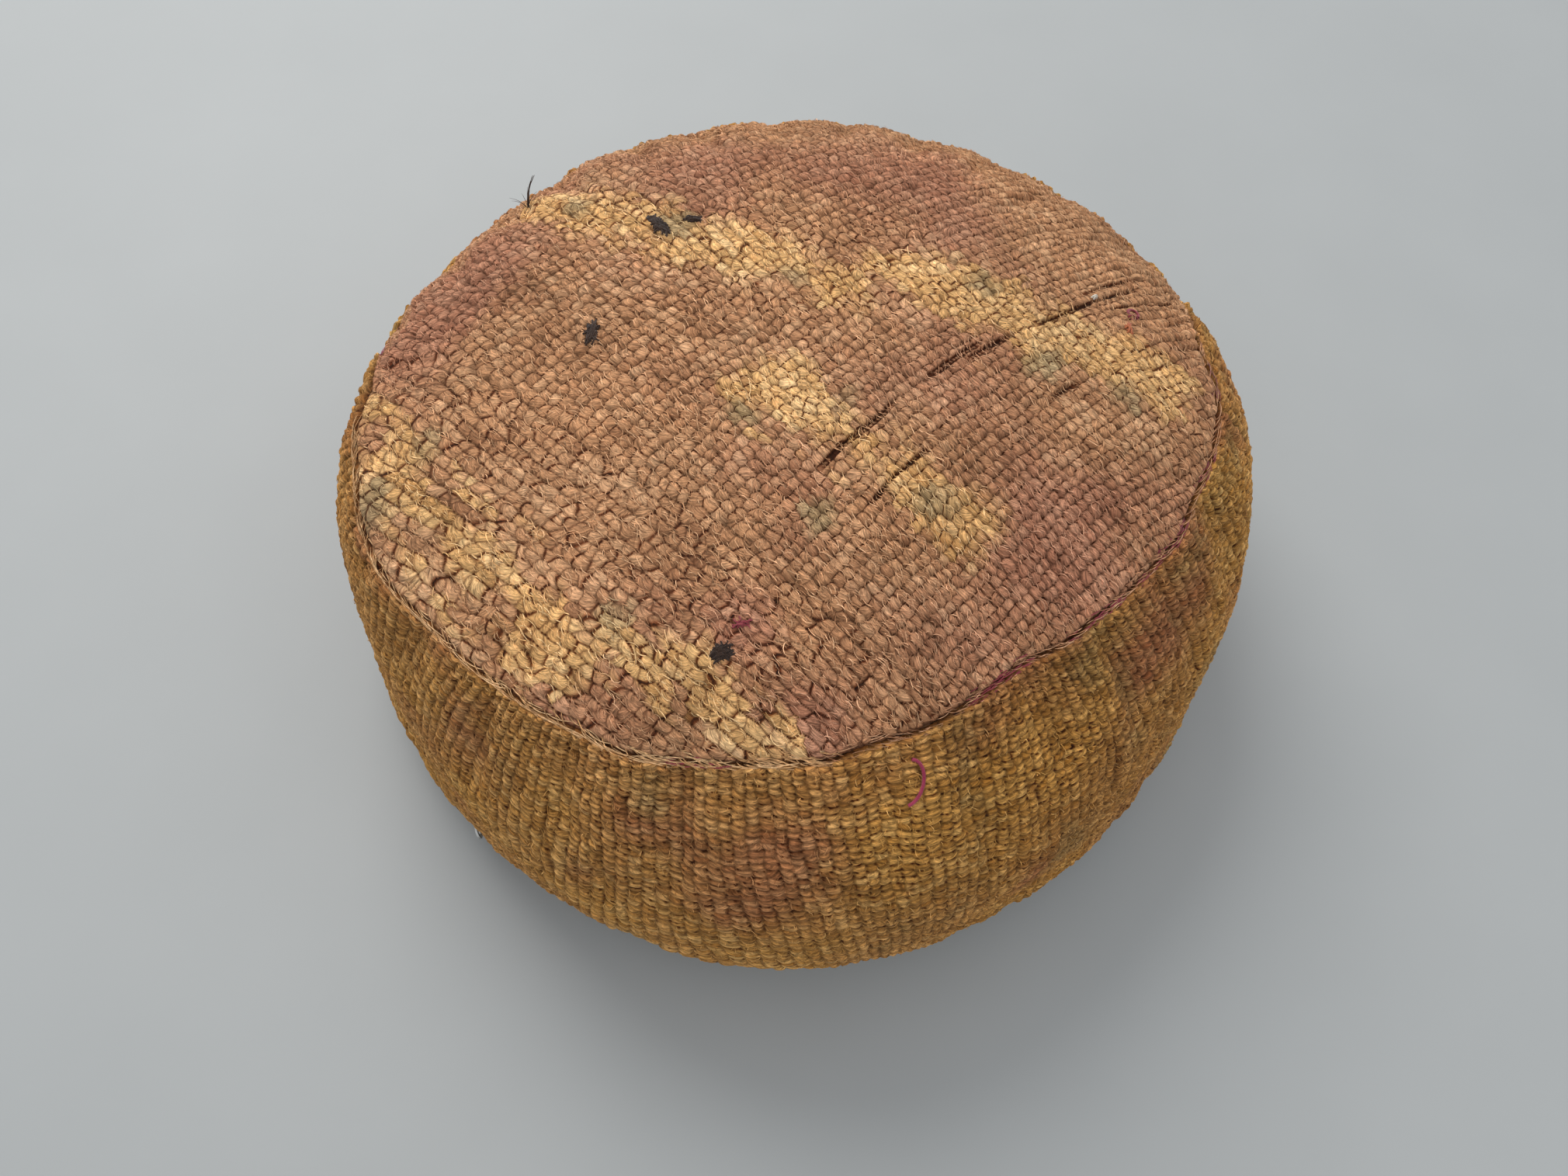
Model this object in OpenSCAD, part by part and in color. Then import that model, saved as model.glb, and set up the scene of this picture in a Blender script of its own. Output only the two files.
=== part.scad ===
// Round floor cushion: two pieces of knotted rug and a base cloth, zipped along the base seam,
// over a sewn inner bag of loose filling. Millimetres, +Z up, origin on the floor at the centre.

/* [Cushion] */
// Width across the bulging side
cushion_d = 550; // [520:5:600]
// Height at the crown of the top
cushion_h = 245; // [235:1:260]
// Height of the widest level
bulge_z = 105; // [95:1:115]
// Radius of the seam round the top
top_seam_r = 214; // [205:1:222]
// Height of the seam round the top
top_seam_z = 214; // [206:1:220]
// Radius of the seam round the base
base_seam_r = 258; // [256:1:260]
// Height of the seam round the base
base_seam_z = 20; // [19:1:21]
// Radius of the flat foot
foot_r = 238; // [230:1:240]
// Thickness of the rug, pile included
rug_t = 7; // [6:0.5:7]

/* [Inner bag] */
// Gap between the rug and the inner bag
bag_gap = 1; // [0.8:0.1:1.2]
// Thickness of the bag cloth with its turned edges
bag_t = 1.2; // [0.8:0.1:1.6]
// Gap between the bag cloth and its filling
fill_gap = 0.4; // [0.3:0.1:0.6]

/* [Zip] */
// Angle at which the zip opening starts, seen from above
zip_start = -141; // [-150:1:-130]
// Radius of the tapes at the middle of the zip
zip_r = 250; // [249:0.5:251]
// Height of the middle of the zip
zip_z = 21; // [20.5:0.5:21.5]
// Lean of the zip, its face turned down from level
zip_tilt = 15; // [13:1:17]
// Half of the opening between the two rug edges
zip_slot = 6.2; // [6:0.1:6.5]
// Width of one tape
tape_w = 10.5; // [9:0.5:10.5]
// Thickness of the tapes
tape_t = 0.6; // [0.4:0.1:0.7]
// Width of one nylon coil
coil_w = 3; // [2.6:0.1:3.1]
// Thickness of the coils
coil_t = 2.4; // [2:0.1:2.5]
// Gap left between the coils for the post of the slider
coil_gap = 1.7; // [1.6:0.1:1.8]

/* [Slider and pull] */
// Length of the slider
slider_l = 14; // [12:0.5:15]
// Width of the slider
slider_w = 10.7; // [10.5:0.1:11]
// Angle that the slider travels from shut to open
slider_travel = 97; // [60:1:97]
// Length of the pull from its pivot
pull_l = 30; // [26:1:32]
// Angle of the pull off the tape when at rest
pull_rest = 20; // [12:1:40]

/* [Hidden] */
$fn = 64;

// Curves of the cover, seen as radius and height
curve_steps = 12;
bulge_core = 175;
bulge_a = cushion_d / 2 - bulge_core;
top_turn = acos((top_seam_r - bulge_core) / bulge_a);
foot_turn = -acos((base_seam_r - bulge_core) / bulge_a);
bulge_b_top = (top_seam_z - bulge_z) / sin(top_turn);
bulge_b_foot = (base_seam_z - bulge_z) / sin(foot_turn);
crown = cushion_h - top_seam_z;
crown_power = 2.4;
dome_edge_r = 0.95 * top_seam_r;
foot_corner_r = base_seam_r - 1 - foot_r;
foot_corner_z = 0.7 * base_seam_z;

function dome_z(r) = top_seam_z + crown * (1 - pow(r / top_seam_r, crown_power));
function side_point(turn, inset) = [
    bulge_core + (bulge_a - inset) * cos(turn),
    bulge_z + ((turn > 0 ? bulge_b_top : bulge_b_foot) - inset) * sin(turn)];
function side_curve(from, to, inset) =
    [for (i = [0 : 2 * curve_steps]) side_point(from + (to - from) * i / (2 * curve_steps), inset)];
function dome_curve(from, to, drop) =
    [for (i = [0 : curve_steps]) let (r = from + (to - from) * i / curve_steps) [r, dome_z(r) - drop]];
function foot_curve(inset, from, to) =
    [for (i = [0 : curve_steps / 2]) let (turn = from + (to - from) * i / (curve_steps / 2))
        [foot_r + (foot_corner_r - inset) * sin(turn),
         foot_corner_z - (foot_corner_z - inset) * cos(turn)]];

// Inner bag: its outline stays clear of the zip at the foot
bag_foot_r = foot_r - 16;
bag_foot_corner_r = 20;
bag_foot_corner_z = 16;
bag_floor_z = rug_t + 0.6;
bag_foot_turn = -40;
bag_top_turn = 58;
bag_b_foot = 123;
bag_dome_r = 200;
bag_inset = rug_t + bag_gap;

function bag_side_point(turn, inset) = [
    bulge_core + (bulge_a - bag_inset - inset) * cos(turn),
    bulge_z + ((turn > 0 ? bulge_b_top - bag_inset : bag_b_foot) - inset) * sin(turn)];
function bag_outline(inset) = concat(
    [[0, bag_floor_z + inset]],
    [for (i = [0 : 4]) let (turn = 90 * i / 4)
        [bag_foot_r + (bag_foot_corner_r - inset) * sin(turn),
         bag_floor_z + bag_foot_corner_z - (bag_foot_corner_z - inset) * cos(turn)]],
    [for (i = [0 : curve_steps])
        bag_side_point(bag_foot_turn + (bag_top_turn - bag_foot_turn) * i / curve_steps, inset)],
    dome_curve(bag_dome_r, 0, bag_inset + inset));
bag_seam_low_z = bag_floor_z + bag_foot_corner_z;
bag_seam_turn = bag_top_turn - 1;
bag_seam_high_z = bag_side_point(bag_seam_turn, 0)[1];
bag_stitch_r = 0.3;
bag_stitch_out = bag_stitch_r + 0.15;

// Zip: n points out of the tapes and s up along them
slider_half_deg = asin(slider_l / 2 / zip_r);
stop_gap_deg = 0.2;
top_stop_from = zip_start + 0.9;
top_stop_to = zip_start + 1.6;
slider_at = top_stop_to + stop_gap_deg + slider_half_deg;
open_gap_deg = 0.6;
bottom_stop_from = slider_at + slider_travel + slider_half_deg + open_gap_deg;
bottom_stop_to = bottom_stop_from + 1;
zip_end = bottom_stop_to + 2.4;
tape_tail_deg = 2.5;
coil_s = coil_gap / 2;
coil_n = tape_t / 2 + 0.05;
tape_s = 1;
stitch_s = 9;
stitch_r = 0.4;
run_gap = 0.35;
plate_t = 1.2;
plate_low_n = -tape_t / 2 - 0.4 - plate_t;
plate_high_n = coil_n + coil_t + run_gap;
slider_top_n = plate_high_n + plate_t;
flange_s = coil_s + coil_w + 0.4;
flange_n = 0.8;
post_w = 1;
bridge_w = 2.2;
bridge_l = 9.2;
bridge_h = 3.3;
bridge_wall = 1.3;
pivot_n = slider_top_n + 1;
bar_r = 0.6;
pull_t = 1.2;
pull_window_w = 3.2;
pull_window_l = 5.6;
pull_eye_half = 3.1;
pull_eye_end = 6.8;
pull_neck_from = 11.5;
pull_neck_to = 15;
pull_neck_half = 1.3;
pull_neck_swell = 0.2;
pull_end_r = 3.8;
pull_end_x = pull_l - pull_end_r;
pull_hole_r = 1.2;

module zip_section() {
    translate([zip_r, zip_z]) rotate(-zip_tilt) children();
}

module along_zip(from, to) {
    rotate([0, 0, from]) rotate_extrude(angle = to - from) zip_section() children();
}

module at_slider() {
    rotate([0, 0, slider_at]) translate([zip_r, 0, zip_z]) rotate([0, zip_tilt, 0]) children();
}

module zip_opening() {
    inner = 3;
    depth = 40;
    along_zip(zip_start, zip_end) translate([-inner, -zip_slot]) square([depth, 2 * zip_slot]);
}

module top_panel() {
    color("rosybrown") rotate_extrude()
        polygon(concat(
            dome_curve(0, top_seam_r, 0),
            [side_point(top_turn, rug_t)],
            dome_curve(dome_edge_r, 0, rug_t)));
}

module side_band() {
    color("peru") difference() {
        rotate_extrude()
            polygon(concat(
                side_curve(foot_turn, top_turn, 0),
                side_curve(top_turn, foot_turn, rug_t)));
        zip_opening();
    }
}

module bottom_panel() {
    color("tan") difference() {
        rotate_extrude()
            polygon(concat(
                [[0, 0]],
                foot_curve(0, 0, 90),
                [side_point(foot_turn, 0), side_point(foot_turn, rug_t)],
                foot_curve(rug_t, 90, 0),
                [[0, rug_t]]));
        zip_opening();
    }
}

module top_seam_thread() {
    corner = side_point(top_turn, rug_t);
    color("maroon") rotate_extrude()
        translate([corner[0] - 1, corner[1] - 1]) circle(r = stitch_r);
}

module base_seam_thread() {
    corner = side_point(foot_turn, rug_t);
    from = zip_end + tape_tail_deg + 1.5;
    to = zip_start + 360 - tape_tail_deg - 1.5;
    color("saddlebrown") rotate([0, 0, from]) rotate_extrude(angle = to - from)
        translate([corner[0] - 1, corner[1]]) circle(r = stitch_r);
}

module band_join_thread() {
    join_at = 100;
    thread_w = 0.8;
    from = foot_turn + 6;
    to = top_turn - 16;
    outside = rug_t + 0.1;
    inside = outside + 0.6;
    color("saddlebrown") rotate([0, 0, join_at]) rotate([90, 0, 0])
        linear_extrude(height = thread_w, center = true)
            polygon(concat(side_curve(from, to, outside), side_curve(to, from, inside)));
}

module zip_tape(side) {
    along_zip(zip_start - tape_tail_deg, zip_end + tape_tail_deg)
        translate([-tape_t / 2, side > 0 ? tape_s : -tape_s - tape_w]) square([tape_t, tape_w]);
}

module zip_coil(side) {
    bead_r = coil_t / 2;
    along_zip(top_stop_to + 0.1, bottom_stop_from - 0.1)
        translate([coil_n + bead_r, side * (coil_s + coil_w / 2)]) {
            square([coil_t, coil_w - coil_t], center = true);
            translate([0, (coil_w - coil_t) / 2]) circle(r = bead_r);
            translate([0, -(coil_w - coil_t) / 2]) circle(r = bead_r);
        }
}

module zip_stitching(side) {
    along_zip(zip_start - tape_tail_deg + 0.5, zip_end + tape_tail_deg - 0.5)
        translate([tape_t / 2 + stitch_r + 0.05, side * stitch_s]) circle(r = stitch_r);
}

module zip_top_stops() {
    color("silver") for (side = [-1, 1])
        along_zip(top_stop_from, top_stop_to)
            translate([coil_n, side > 0 ? coil_s : -coil_s - coil_w - 0.5])
                square([coil_t, coil_w + 0.5]);
}

module zip_bottom_stop() {
    half_w = coil_s + coil_w + 0.5;
    color("silver") along_zip(bottom_stop_from, bottom_stop_to)
        translate([coil_n, -half_w]) square([coil_t, 2 * half_w]);
}

module slider_channel() {
    half = slider_w / 2;
    along_zip(slider_at - slider_half_deg, slider_at + slider_half_deg) {
        translate([plate_low_n, -half]) square([plate_t, slider_w]);
        translate([plate_high_n, -half]) square([plate_t, slider_w]);
        for (side = [-1, 1])
            translate([flange_n, side > 0 ? flange_s : -half])
                square([slider_top_n - flange_n, half - flange_s]);
    }
}

module slider_outline() {
    half = slider_w / 2;
    long_half = slider_l / 2 - 0.05;
    nose = 1.6;
    heel = 0.5;
    heel_from = 2;
    polygon([
        [-long_half, half - nose], [nose - long_half, half], [heel_from, half],
        [long_half, half - heel], [long_half, heel - half], [heel_from, -half],
        [nose - long_half, -half], [-long_half, nose - half]]);
}

module slider_post() {
    front = -slider_l / 2 + 0.8;
    flat_to = front + 2.2;
    tip = front + 3.2;
    translate([plate_low_n, 0, 0]) rotate([90, 0, 90])
        linear_extrude(height = slider_top_n - plate_low_n)
            polygon([[front, post_w / 2], [flat_to, post_w / 2], [tip, 0],
                [flat_to, -post_w / 2], [front, -post_w / 2]]);
}

module slider_bridge() {
    half = bridge_l / 2;
    low = slider_top_n - 0.2;
    high = slider_top_n + bridge_h;
    chamfer = 1;
    translate([0, 0, -bridge_w / 2]) linear_extrude(height = bridge_w)
        difference() {
            polygon([[low, -half], [high - chamfer, -half], [high, chamfer - half],
                [high, half - chamfer], [high - chamfer, half], [low, half]]);
            translate([slider_top_n, bridge_wall - half])
                square([bridge_h - bridge_wall, bridge_l - 2 * bridge_wall]);
        }
}

module slider_body() {
    color("silver") union() {
        intersection() {
            slider_channel();
            at_slider() rotate([90, 0, 90]) linear_extrude(height = 20, center = true) slider_outline();
        }
        at_slider() slider_post();
        at_slider() slider_bridge();
    }
}

module pull_outline() {
    half = [
        [0, pull_eye_half], [pull_eye_end, pull_eye_half], [pull_neck_from, pull_neck_half],
        [pull_neck_to, pull_neck_half + pull_neck_swell], [pull_end_x, pull_end_r]];
    last = len(half) - 1;
    polygon(concat(half, [for (i = [last : -1 : 0]) [half[i][0], -half[i][1]]]));
    translate([pull_end_x, 0]) circle(r = pull_end_r);
}

module pull_tab() {
    color("silver") at_slider() translate([pivot_n, 0, 0]) rotate([0, 0, 90 - pull_rest]) {
        difference() {
            rotate([90, 0, 0]) linear_extrude(height = pull_t, center = true) pull_outline();
            translate([bar_r, -pull_t, -pull_window_w / 2])
                cube([pull_window_l, 2 * pull_t, pull_window_w]);
            translate([pull_end_x, 0, 0]) rotate([90, 0, 0])
                cylinder(h = 2 * pull_t, r = pull_hole_r, center = true);
        }
        cylinder(h = 2 * pull_eye_half, r = bar_r, center = true);
    }
}

module bag_shell(low, high) {
    difference() {
        rotate_extrude() difference() {
            polygon(bag_outline(0));
            polygon(bag_outline(bag_t));
        }
        if (low > 0)
            translate([0, 0, low - cushion_h]) cylinder(h = cushion_h, r = cushion_d);
        if (high < cushion_h)
            translate([0, 0, high]) cylinder(h = cushion_h, r = cushion_d);
    }
}

module bag_top_stitching() {
    color("white") rotate_extrude()
        translate(bag_side_point(bag_seam_turn, -bag_stitch_out)) circle(r = bag_stitch_r);
}

module bag_bottom_stitching() {
    out = 1.2;
    color("white") rotate_extrude()
        translate([bag_foot_r + bag_foot_corner_r + out, bag_seam_low_z]) circle(r = bag_stitch_r);
}

module filling() {
    color("linen") rotate_extrude() polygon(bag_outline(bag_t + fill_gap));
}

// A tuft rests on the top panel at the place given
module tuft(x, y, r) {
    from_centre = sqrt(x * x + y * y);
    translate([x, y, dome_z(from_centre) + r + 0.4]) sphere(r = r);
}

module black_wool_tufts() {
    color("black") {
        for (i = [0 : 2]) tuft(-88 + 7 * i, 98 - 8 * i, 2.6);
        tuft(-61, 93, 2.6);
        tuft(-109, 12, 2.6);
        tuft(-30, -164, 3.5);
    }
}

module red_wool_tufts() {
    color("maroon") tuft(179, 49, 3.5);
    color("orange") tuft(175, 36, 3);
}

// A loop of yarn lies open to the left on the side panel
module magenta_yarn() {
    yarn_turn = 50;
    yarn_at = -75;
    yarn_r = 1.2;
    loop_r = 10;
    loop_arc = 170;
    spot = side_point(yarn_turn, -yarn_r - 0.6);
    color("mediumvioletred") rotate([0, 0, yarn_at]) translate([spot[0], 0, spot[1]])
        rotate([0, 90 - yarn_turn, 0]) rotate([0, 0, 90 - loop_arc / 2]) rotate_extrude(angle = loop_arc)
            translate([loop_r, 0]) circle(r = yarn_r);
}

module bristle_strand() {
    strand_at = 142;
    strand_l = 18;
    color("black") rotate([0, 0, strand_at]) translate([top_seam_r - 2, 0, top_seam_z + 2])
        cylinder(h = strand_l, r = 0.9);
}

top_panel();
side_band();
bottom_panel();
top_seam_thread();
base_seam_thread();
band_join_thread();
color("black") zip_tape(1);  // zip_tape_upper
color("black") zip_tape(-1);  // zip_tape_lower
color("dimgray") zip_coil(1);  // zip_coil_upper
color("dimgray") zip_coil(-1);  // zip_coil_lower
zip_top_stops();
zip_bottom_stop();
color("sienna") zip_stitching(1);  // zip_stitching_upper
color("sienna") zip_stitching(-1);  // zip_stitching_lower
slider_body();
pull_tab();
color("ivory") bag_shell(bag_seam_high_z, cushion_h);  // bag_top
color("ivory") bag_shell(bag_seam_low_z, bag_seam_high_z);  // bag_side
color("ivory") bag_shell(0, bag_seam_low_z);  // bag_bottom
bag_top_stitching();
bag_bottom_stitching();
filling();
black_wool_tufts();
color("white") tuft(159, 60, 3);  // pale_wool_tuft
red_wool_tufts();
magenta_yarn();
bristle_strand();
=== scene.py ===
import math

import bpy
import numpy as np
from mathutils import Matrix, Vector


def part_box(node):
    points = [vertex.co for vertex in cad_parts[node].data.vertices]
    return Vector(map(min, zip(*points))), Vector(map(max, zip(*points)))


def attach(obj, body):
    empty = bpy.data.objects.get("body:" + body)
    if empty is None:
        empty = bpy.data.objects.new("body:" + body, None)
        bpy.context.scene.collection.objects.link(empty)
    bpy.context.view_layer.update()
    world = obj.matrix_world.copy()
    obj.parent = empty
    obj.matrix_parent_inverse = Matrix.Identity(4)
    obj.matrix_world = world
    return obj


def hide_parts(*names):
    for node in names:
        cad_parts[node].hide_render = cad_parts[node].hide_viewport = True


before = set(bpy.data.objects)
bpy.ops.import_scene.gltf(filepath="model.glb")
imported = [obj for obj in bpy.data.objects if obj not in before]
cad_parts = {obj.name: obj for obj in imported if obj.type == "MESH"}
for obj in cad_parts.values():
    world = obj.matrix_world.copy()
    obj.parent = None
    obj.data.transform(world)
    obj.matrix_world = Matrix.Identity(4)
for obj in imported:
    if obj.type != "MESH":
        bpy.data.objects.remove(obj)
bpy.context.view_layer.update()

MM = 0.001
TAU = 2 * math.pi

# ---------------------------------------------------------------- sizes of the cover, in mm
TOP_R, _, CROWN_Z = np.array(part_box("top_panel")[1]) / MM
BULGE_R, _, TOP_Z = np.array(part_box("side_band")[1]) / MM
BASE_R = np.array(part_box("bottom_panel")[1])[0] / MM
BASE_Z = 20.0
BULGE_Z = 105.0
BULGE_CORE = 175.0
BULGE_A = BULGE_R - BULGE_CORE
CROWN_POWER = 2.4
FOOT_R = 238.0
FOOT_CORNER_Z = 14.0
TOP_TURN = math.acos((TOP_R - BULGE_CORE) / BULGE_A)
FOOT_TURN = -math.acos((BASE_R - BULGE_CORE) / BULGE_A)
BULGE_B_TOP = (TOP_Z - BULGE_Z) / math.sin(TOP_TURN)
BULGE_B_FOOT = (BASE_Z - BULGE_Z) / math.sin(FOOT_TURN)
BAND_L = 222.0    # down the side, from the top seam to the base seam

ZIP_R, ZIP_Z, ZIP_TILT, ZIP_SLOT = 250.0, 21.0, math.radians(15), 6.2
ZIP_FROM, ZIP_TO = math.radians(-141), math.radians(-35)


# ---------------------------------------------------------------- seeded noise, all vectorised
def hash01(i, j, k=0):
    """A number from 0 to 1 for each whole-number pair."""
    h = (np.asarray(i, np.int64) * 374761393 + np.asarray(j, np.int64) * 668265263
         + np.int64(k) * 97463477) & 0xFFFFFFFF
    h = ((h ^ (h >> 13)) * 1274126177) & 0xFFFFFFFF
    h = ((h ^ (h >> 15)) * 461845907) & 0xFFFFFFFF
    return ((h ^ (h >> 14)) & 0xFFFFFF) / 16777216.0


def smooth(t):
    """0 below 0 and 1 above 1, with an easy curve between."""
    t = np.clip(t, 0, 1)
    return t * t * (3 - 2 * t)


def noise(x, y, cell, seed):
    """Smooth noise from -1 to 1 with lumps of about the cell size."""
    gx, gy = x / cell, y / cell
    ix, iy = np.floor(gx), np.floor(gy)
    fx, fy = smooth(gx - ix), smooth(gy - iy)
    ix, iy = ix.astype(np.int64), iy.astype(np.int64)
    a, b = hash01(ix, iy, seed), hash01(ix + 1, iy, seed)
    c, d = hash01(ix, iy + 1, seed), hash01(ix + 1, iy + 1, seed)
    return 2 * (a + (b - a) * fx + (c - a) * fy + (a - b - c + d) * fx * fy) - 1


def lumps(x, y, cell, seed):
    """Noise with smaller lumps on its lumps."""
    total, size = 0, 1.0
    for k in range(3):
        total = total + size * noise(x + 31.7 * k, y - 17.3 * k, cell, seed + k)
        cell, size = cell / 2, size / 2
    return total / 1.75


def turn_diff(a, b):
    """The turn from one angle to another, from minus half a turn to half a turn."""
    return (a - b + math.pi) % TAU - math.pi


def lobes(theta, base, bumps):
    """A radius that swells by each bump: (degrees, width in degrees, mm)."""
    r = np.full_like(theta, base, dtype=float)
    for at, width, size in bumps:
        r += size * np.exp(-(turn_diff(theta, math.radians(at)) / math.radians(width)) ** 2)
    return r


# ---------------------------------------------------------------- the settled shape of the cushion
SEAM_BUMPS = ((-158, 38, 29), (5, 30, 19), (-52, 26, -14), (-105, 20, 7), (85, 55, -8))
BULGE_BUMPS = ((-90, 26, 10), (-36, 26, -14), (-142, 24, -12), (170, 40, -7), (90, 50, -12))


def seam_radius(theta):
    """Radius of the settled top seam."""
    wave = 1.0 * np.sin(9 * theta + 0.7) + 0.8 * np.sin(17 * theta + 2.1) + 0.5 * np.sin(29 * theta)
    return lobes(theta, TOP_R - 6, SEAM_BUMPS) + wave


def bulge_radius(theta):
    """Radius of the settled cover where it is widest."""
    return lobes(theta, BULGE_R - 4, BULGE_BUMPS)


def shoulder(theta):
    """How full the side is above its widest level: 1 would be straight."""
    return lobes(theta, 2.6, ((165, 60, -1.3), (80, 60, -0.8), (0, 40, -0.2)))


def shift_out(theta, z):
    """How far the settled cover lies outside the round one at a height."""
    wide, round_r = bulge_radius(theta), round_radius(z)
    up = np.clip((z - BULGE_Z) / (TOP_Z - BULGE_Z), 0, 1)
    above = wide - (wide - seam_radius(theta)) * up ** shoulder(theta) - round_r
    below = (wide - BULGE_R) * smooth((z - BASE_Z) / (BULGE_Z - BASE_Z))
    return np.where(z > BULGE_Z, above, below)


def round_radius(z):
    """Radius of the round cover above its widest level."""
    lift = np.clip((z - BULGE_Z) / BULGE_B_TOP, 0, 1)
    return BULGE_CORE + BULGE_A * np.sqrt(1 - lift * lift)


def behind(theta):
    """1 at the back, where the top of the rug folds over the shoulder, and 0 at the front."""
    return smooth((np.sin(theta) - 0.07 - 0.13 * np.cos(theta)) / 0.26)


def seam_arc(theta):
    """How far down the cover the top seam lies, from the crown, in mm."""
    return TOP_R + 56 * behind(theta)


def round_section(a):
    """Radius and height of the round cover at a distance down it from the crown."""
    t = (a - TOP_R) / BAND_L
    turn = TOP_TURN + (FOOT_TURN - TOP_TURN) * np.clip(t, 0, 1)
    b = np.where(turn > 0, BULGE_B_TOP, BULGE_B_FOOT)
    r = np.where(t < 0, a, BULGE_CORE + BULGE_A * np.cos(turn))
    dome = TOP_Z + (CROWN_Z - TOP_Z) * (1 - np.clip(a / TOP_R, 0, 1) ** CROWN_POWER)
    return r, np.where(t < 0, dome, BULGE_Z + b * np.sin(turn))


def section(theta, a):
    """The settled cover at an angle and a distance down it from the crown."""
    theta, a = np.broadcast_arrays(np.asarray(theta, float), np.asarray(a, float))
    r, z = round_section(a)
    ease = 0.25 + 0.75 * behind(theta)
    wide_r, wide_z, n = 0.0, 0.0, 0
    for step in (-24, -16, -8, 0, 8, 16, 24):
        rr, zz = round_section(np.maximum(a + step * np.clip(a / 60, 0, 1), 0))
        wide_r, wide_z, n = wide_r + rr, wide_z + zz, n + 1
    near_fold = ease * np.exp(-((a - TOP_R) / 40) ** 2)
    r = r + (wide_r / n - r) * near_fold
    z = z + (wide_z / n - z) * near_fold
    out = shift_out(theta, np.minimum(z, TOP_Z)) * np.minimum(1, (a / TOP_R) ** 2)
    r = r + out
    soft = smooth((1 - a / TOP_R) / 0.3)
    x, y = r * np.cos(theta), r * np.sin(theta)
    return r, z + soft * (1.8 * lumps(x, y, 130, 5) - 1.0)


def band_point(theta, t):
    """The side of the cover: t runs from 0 at the top seam to 1 at the base seam."""
    start = seam_arc(np.asarray(theta, float))
    return section(theta, start + (TOP_R + BAND_L - start) * t)


# ---------------------------------------------------------------- cloth simulation of the cover
SEG = 150
TOP_RINGS, BAND_RINGS = 14, 22


def simulate_cover():
    """The cover as cloth under the pressure of its filling: how far its points move, in mm."""
    rings = TOP_RINGS + BAND_RINGS
    theta = np.arange(SEG) * TAU / SEG
    points = [(0.0, 0.0, float(section(0.0, 0.0)[1]))]
    for k in range(1, rings + 1):
        if k <= TOP_RINGS:
            r, z = section(theta, seam_arc(theta) * k / TOP_RINGS)
        else:
            r, z = band_point(theta, (k - TOP_RINGS) / BAND_RINGS)
        points += list(zip(r * np.cos(theta), r * np.sin(theta), z))
    faces = [(0, 1 + (j + 1) % SEG, 1 + j)[::-1] for j in range(SEG)]
    for k in range(rings - 1):
        a, b = 1 + k * SEG, 1 + (k + 1) * SEG
        faces += [(a + j, b + j, b + (j + 1) % SEG, a + (j + 1) % SEG) for j in range(SEG)]
    foot = len(points) - SEG
    faces.append(tuple(foot + j for j in range(SEG))[::-1])
    start = np.array(points)
    mesh = bpy.data.meshes.new("cover_cloth")
    mesh.from_pydata([tuple(p * MM) for p in start], [], faces)
    cloth_ob = bpy.data.objects.new("cover_cloth", mesh)
    bpy.context.scene.collection.objects.link(cloth_ob)
    held = cloth_ob.vertex_groups.new(name="held")
    seam = 1 + (TOP_RINGS - 1) * SEG
    held.add(list(range(seam, seam + SEG)) + list(range(foot, foot + SEG)), 1.0, "REPLACE")
    cloth = cloth_ob.modifiers.new("cloth", "CLOTH")
    s = cloth.settings
    s.quality = 5
    s.mass = 0.35
    s.tension_stiffness = s.compression_stiffness = 12
    s.shear_stiffness = 6
    s.bending_stiffness = 0.6
    s.use_pressure = True
    s.uniform_pressure_force = 4
    s.vertex_group_mass = "held"
    s.shrink_min = -0.03
    s.effector_weights.gravity = 0
    cloth.collision_settings.use_collision = False
    scene = bpy.context.scene
    for f in range(1, 21):
        scene.frame_set(f)
    deps = bpy.context.evaluated_depsgraph_get()
    done = cloth_ob.evaluated_get(deps).to_mesh()
    end = np.empty(len(done.vertices) * 3)
    done.vertices.foreach_get("co", end)
    move = end.reshape(-1, 3) / MM - start
    cloth_ob.evaluated_get(deps).to_mesh_clear()
    bpy.data.objects.remove(cloth_ob)
    bpy.data.meshes.remove(mesh)
    scene.frame_set(1)
    far = np.linalg.norm(move, axis=1, keepdims=True)
    move *= np.minimum(1, 14 / np.maximum(far, 1e-6))
    grid = move[1:].reshape(rings, SEG, 3)
    # each ring keeps its mean size, and what the cloth adds to it are its swells and folds
    out = grid[..., 0] * np.cos(theta) + grid[..., 1] * np.sin(theta)
    excess = out.mean(1, keepdims=True)
    grid[..., 0] -= excess * np.cos(theta)
    grid[..., 1] -= excess * np.sin(theta)
    grid[..., 2] -= grid[..., 2].mean(1, keepdims=True)
    centre = np.zeros((1, SEG, 3))
    centre[..., 2] = grid[0, :, 2].mean()
    return np.concatenate([centre, grid[:TOP_RINGS]]), grid[TOP_RINGS - 1:]


def cubic(p0, p1, p2, p3, t):
    """A smooth curve through four even values, between the middle two."""
    return p1 + 0.5 * t * (p2 - p0 + t * (2 * p0 - 5 * p1 + 4 * p2 - p3 + t * (3 * (p1 - p2) + p3 - p0)))


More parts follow.
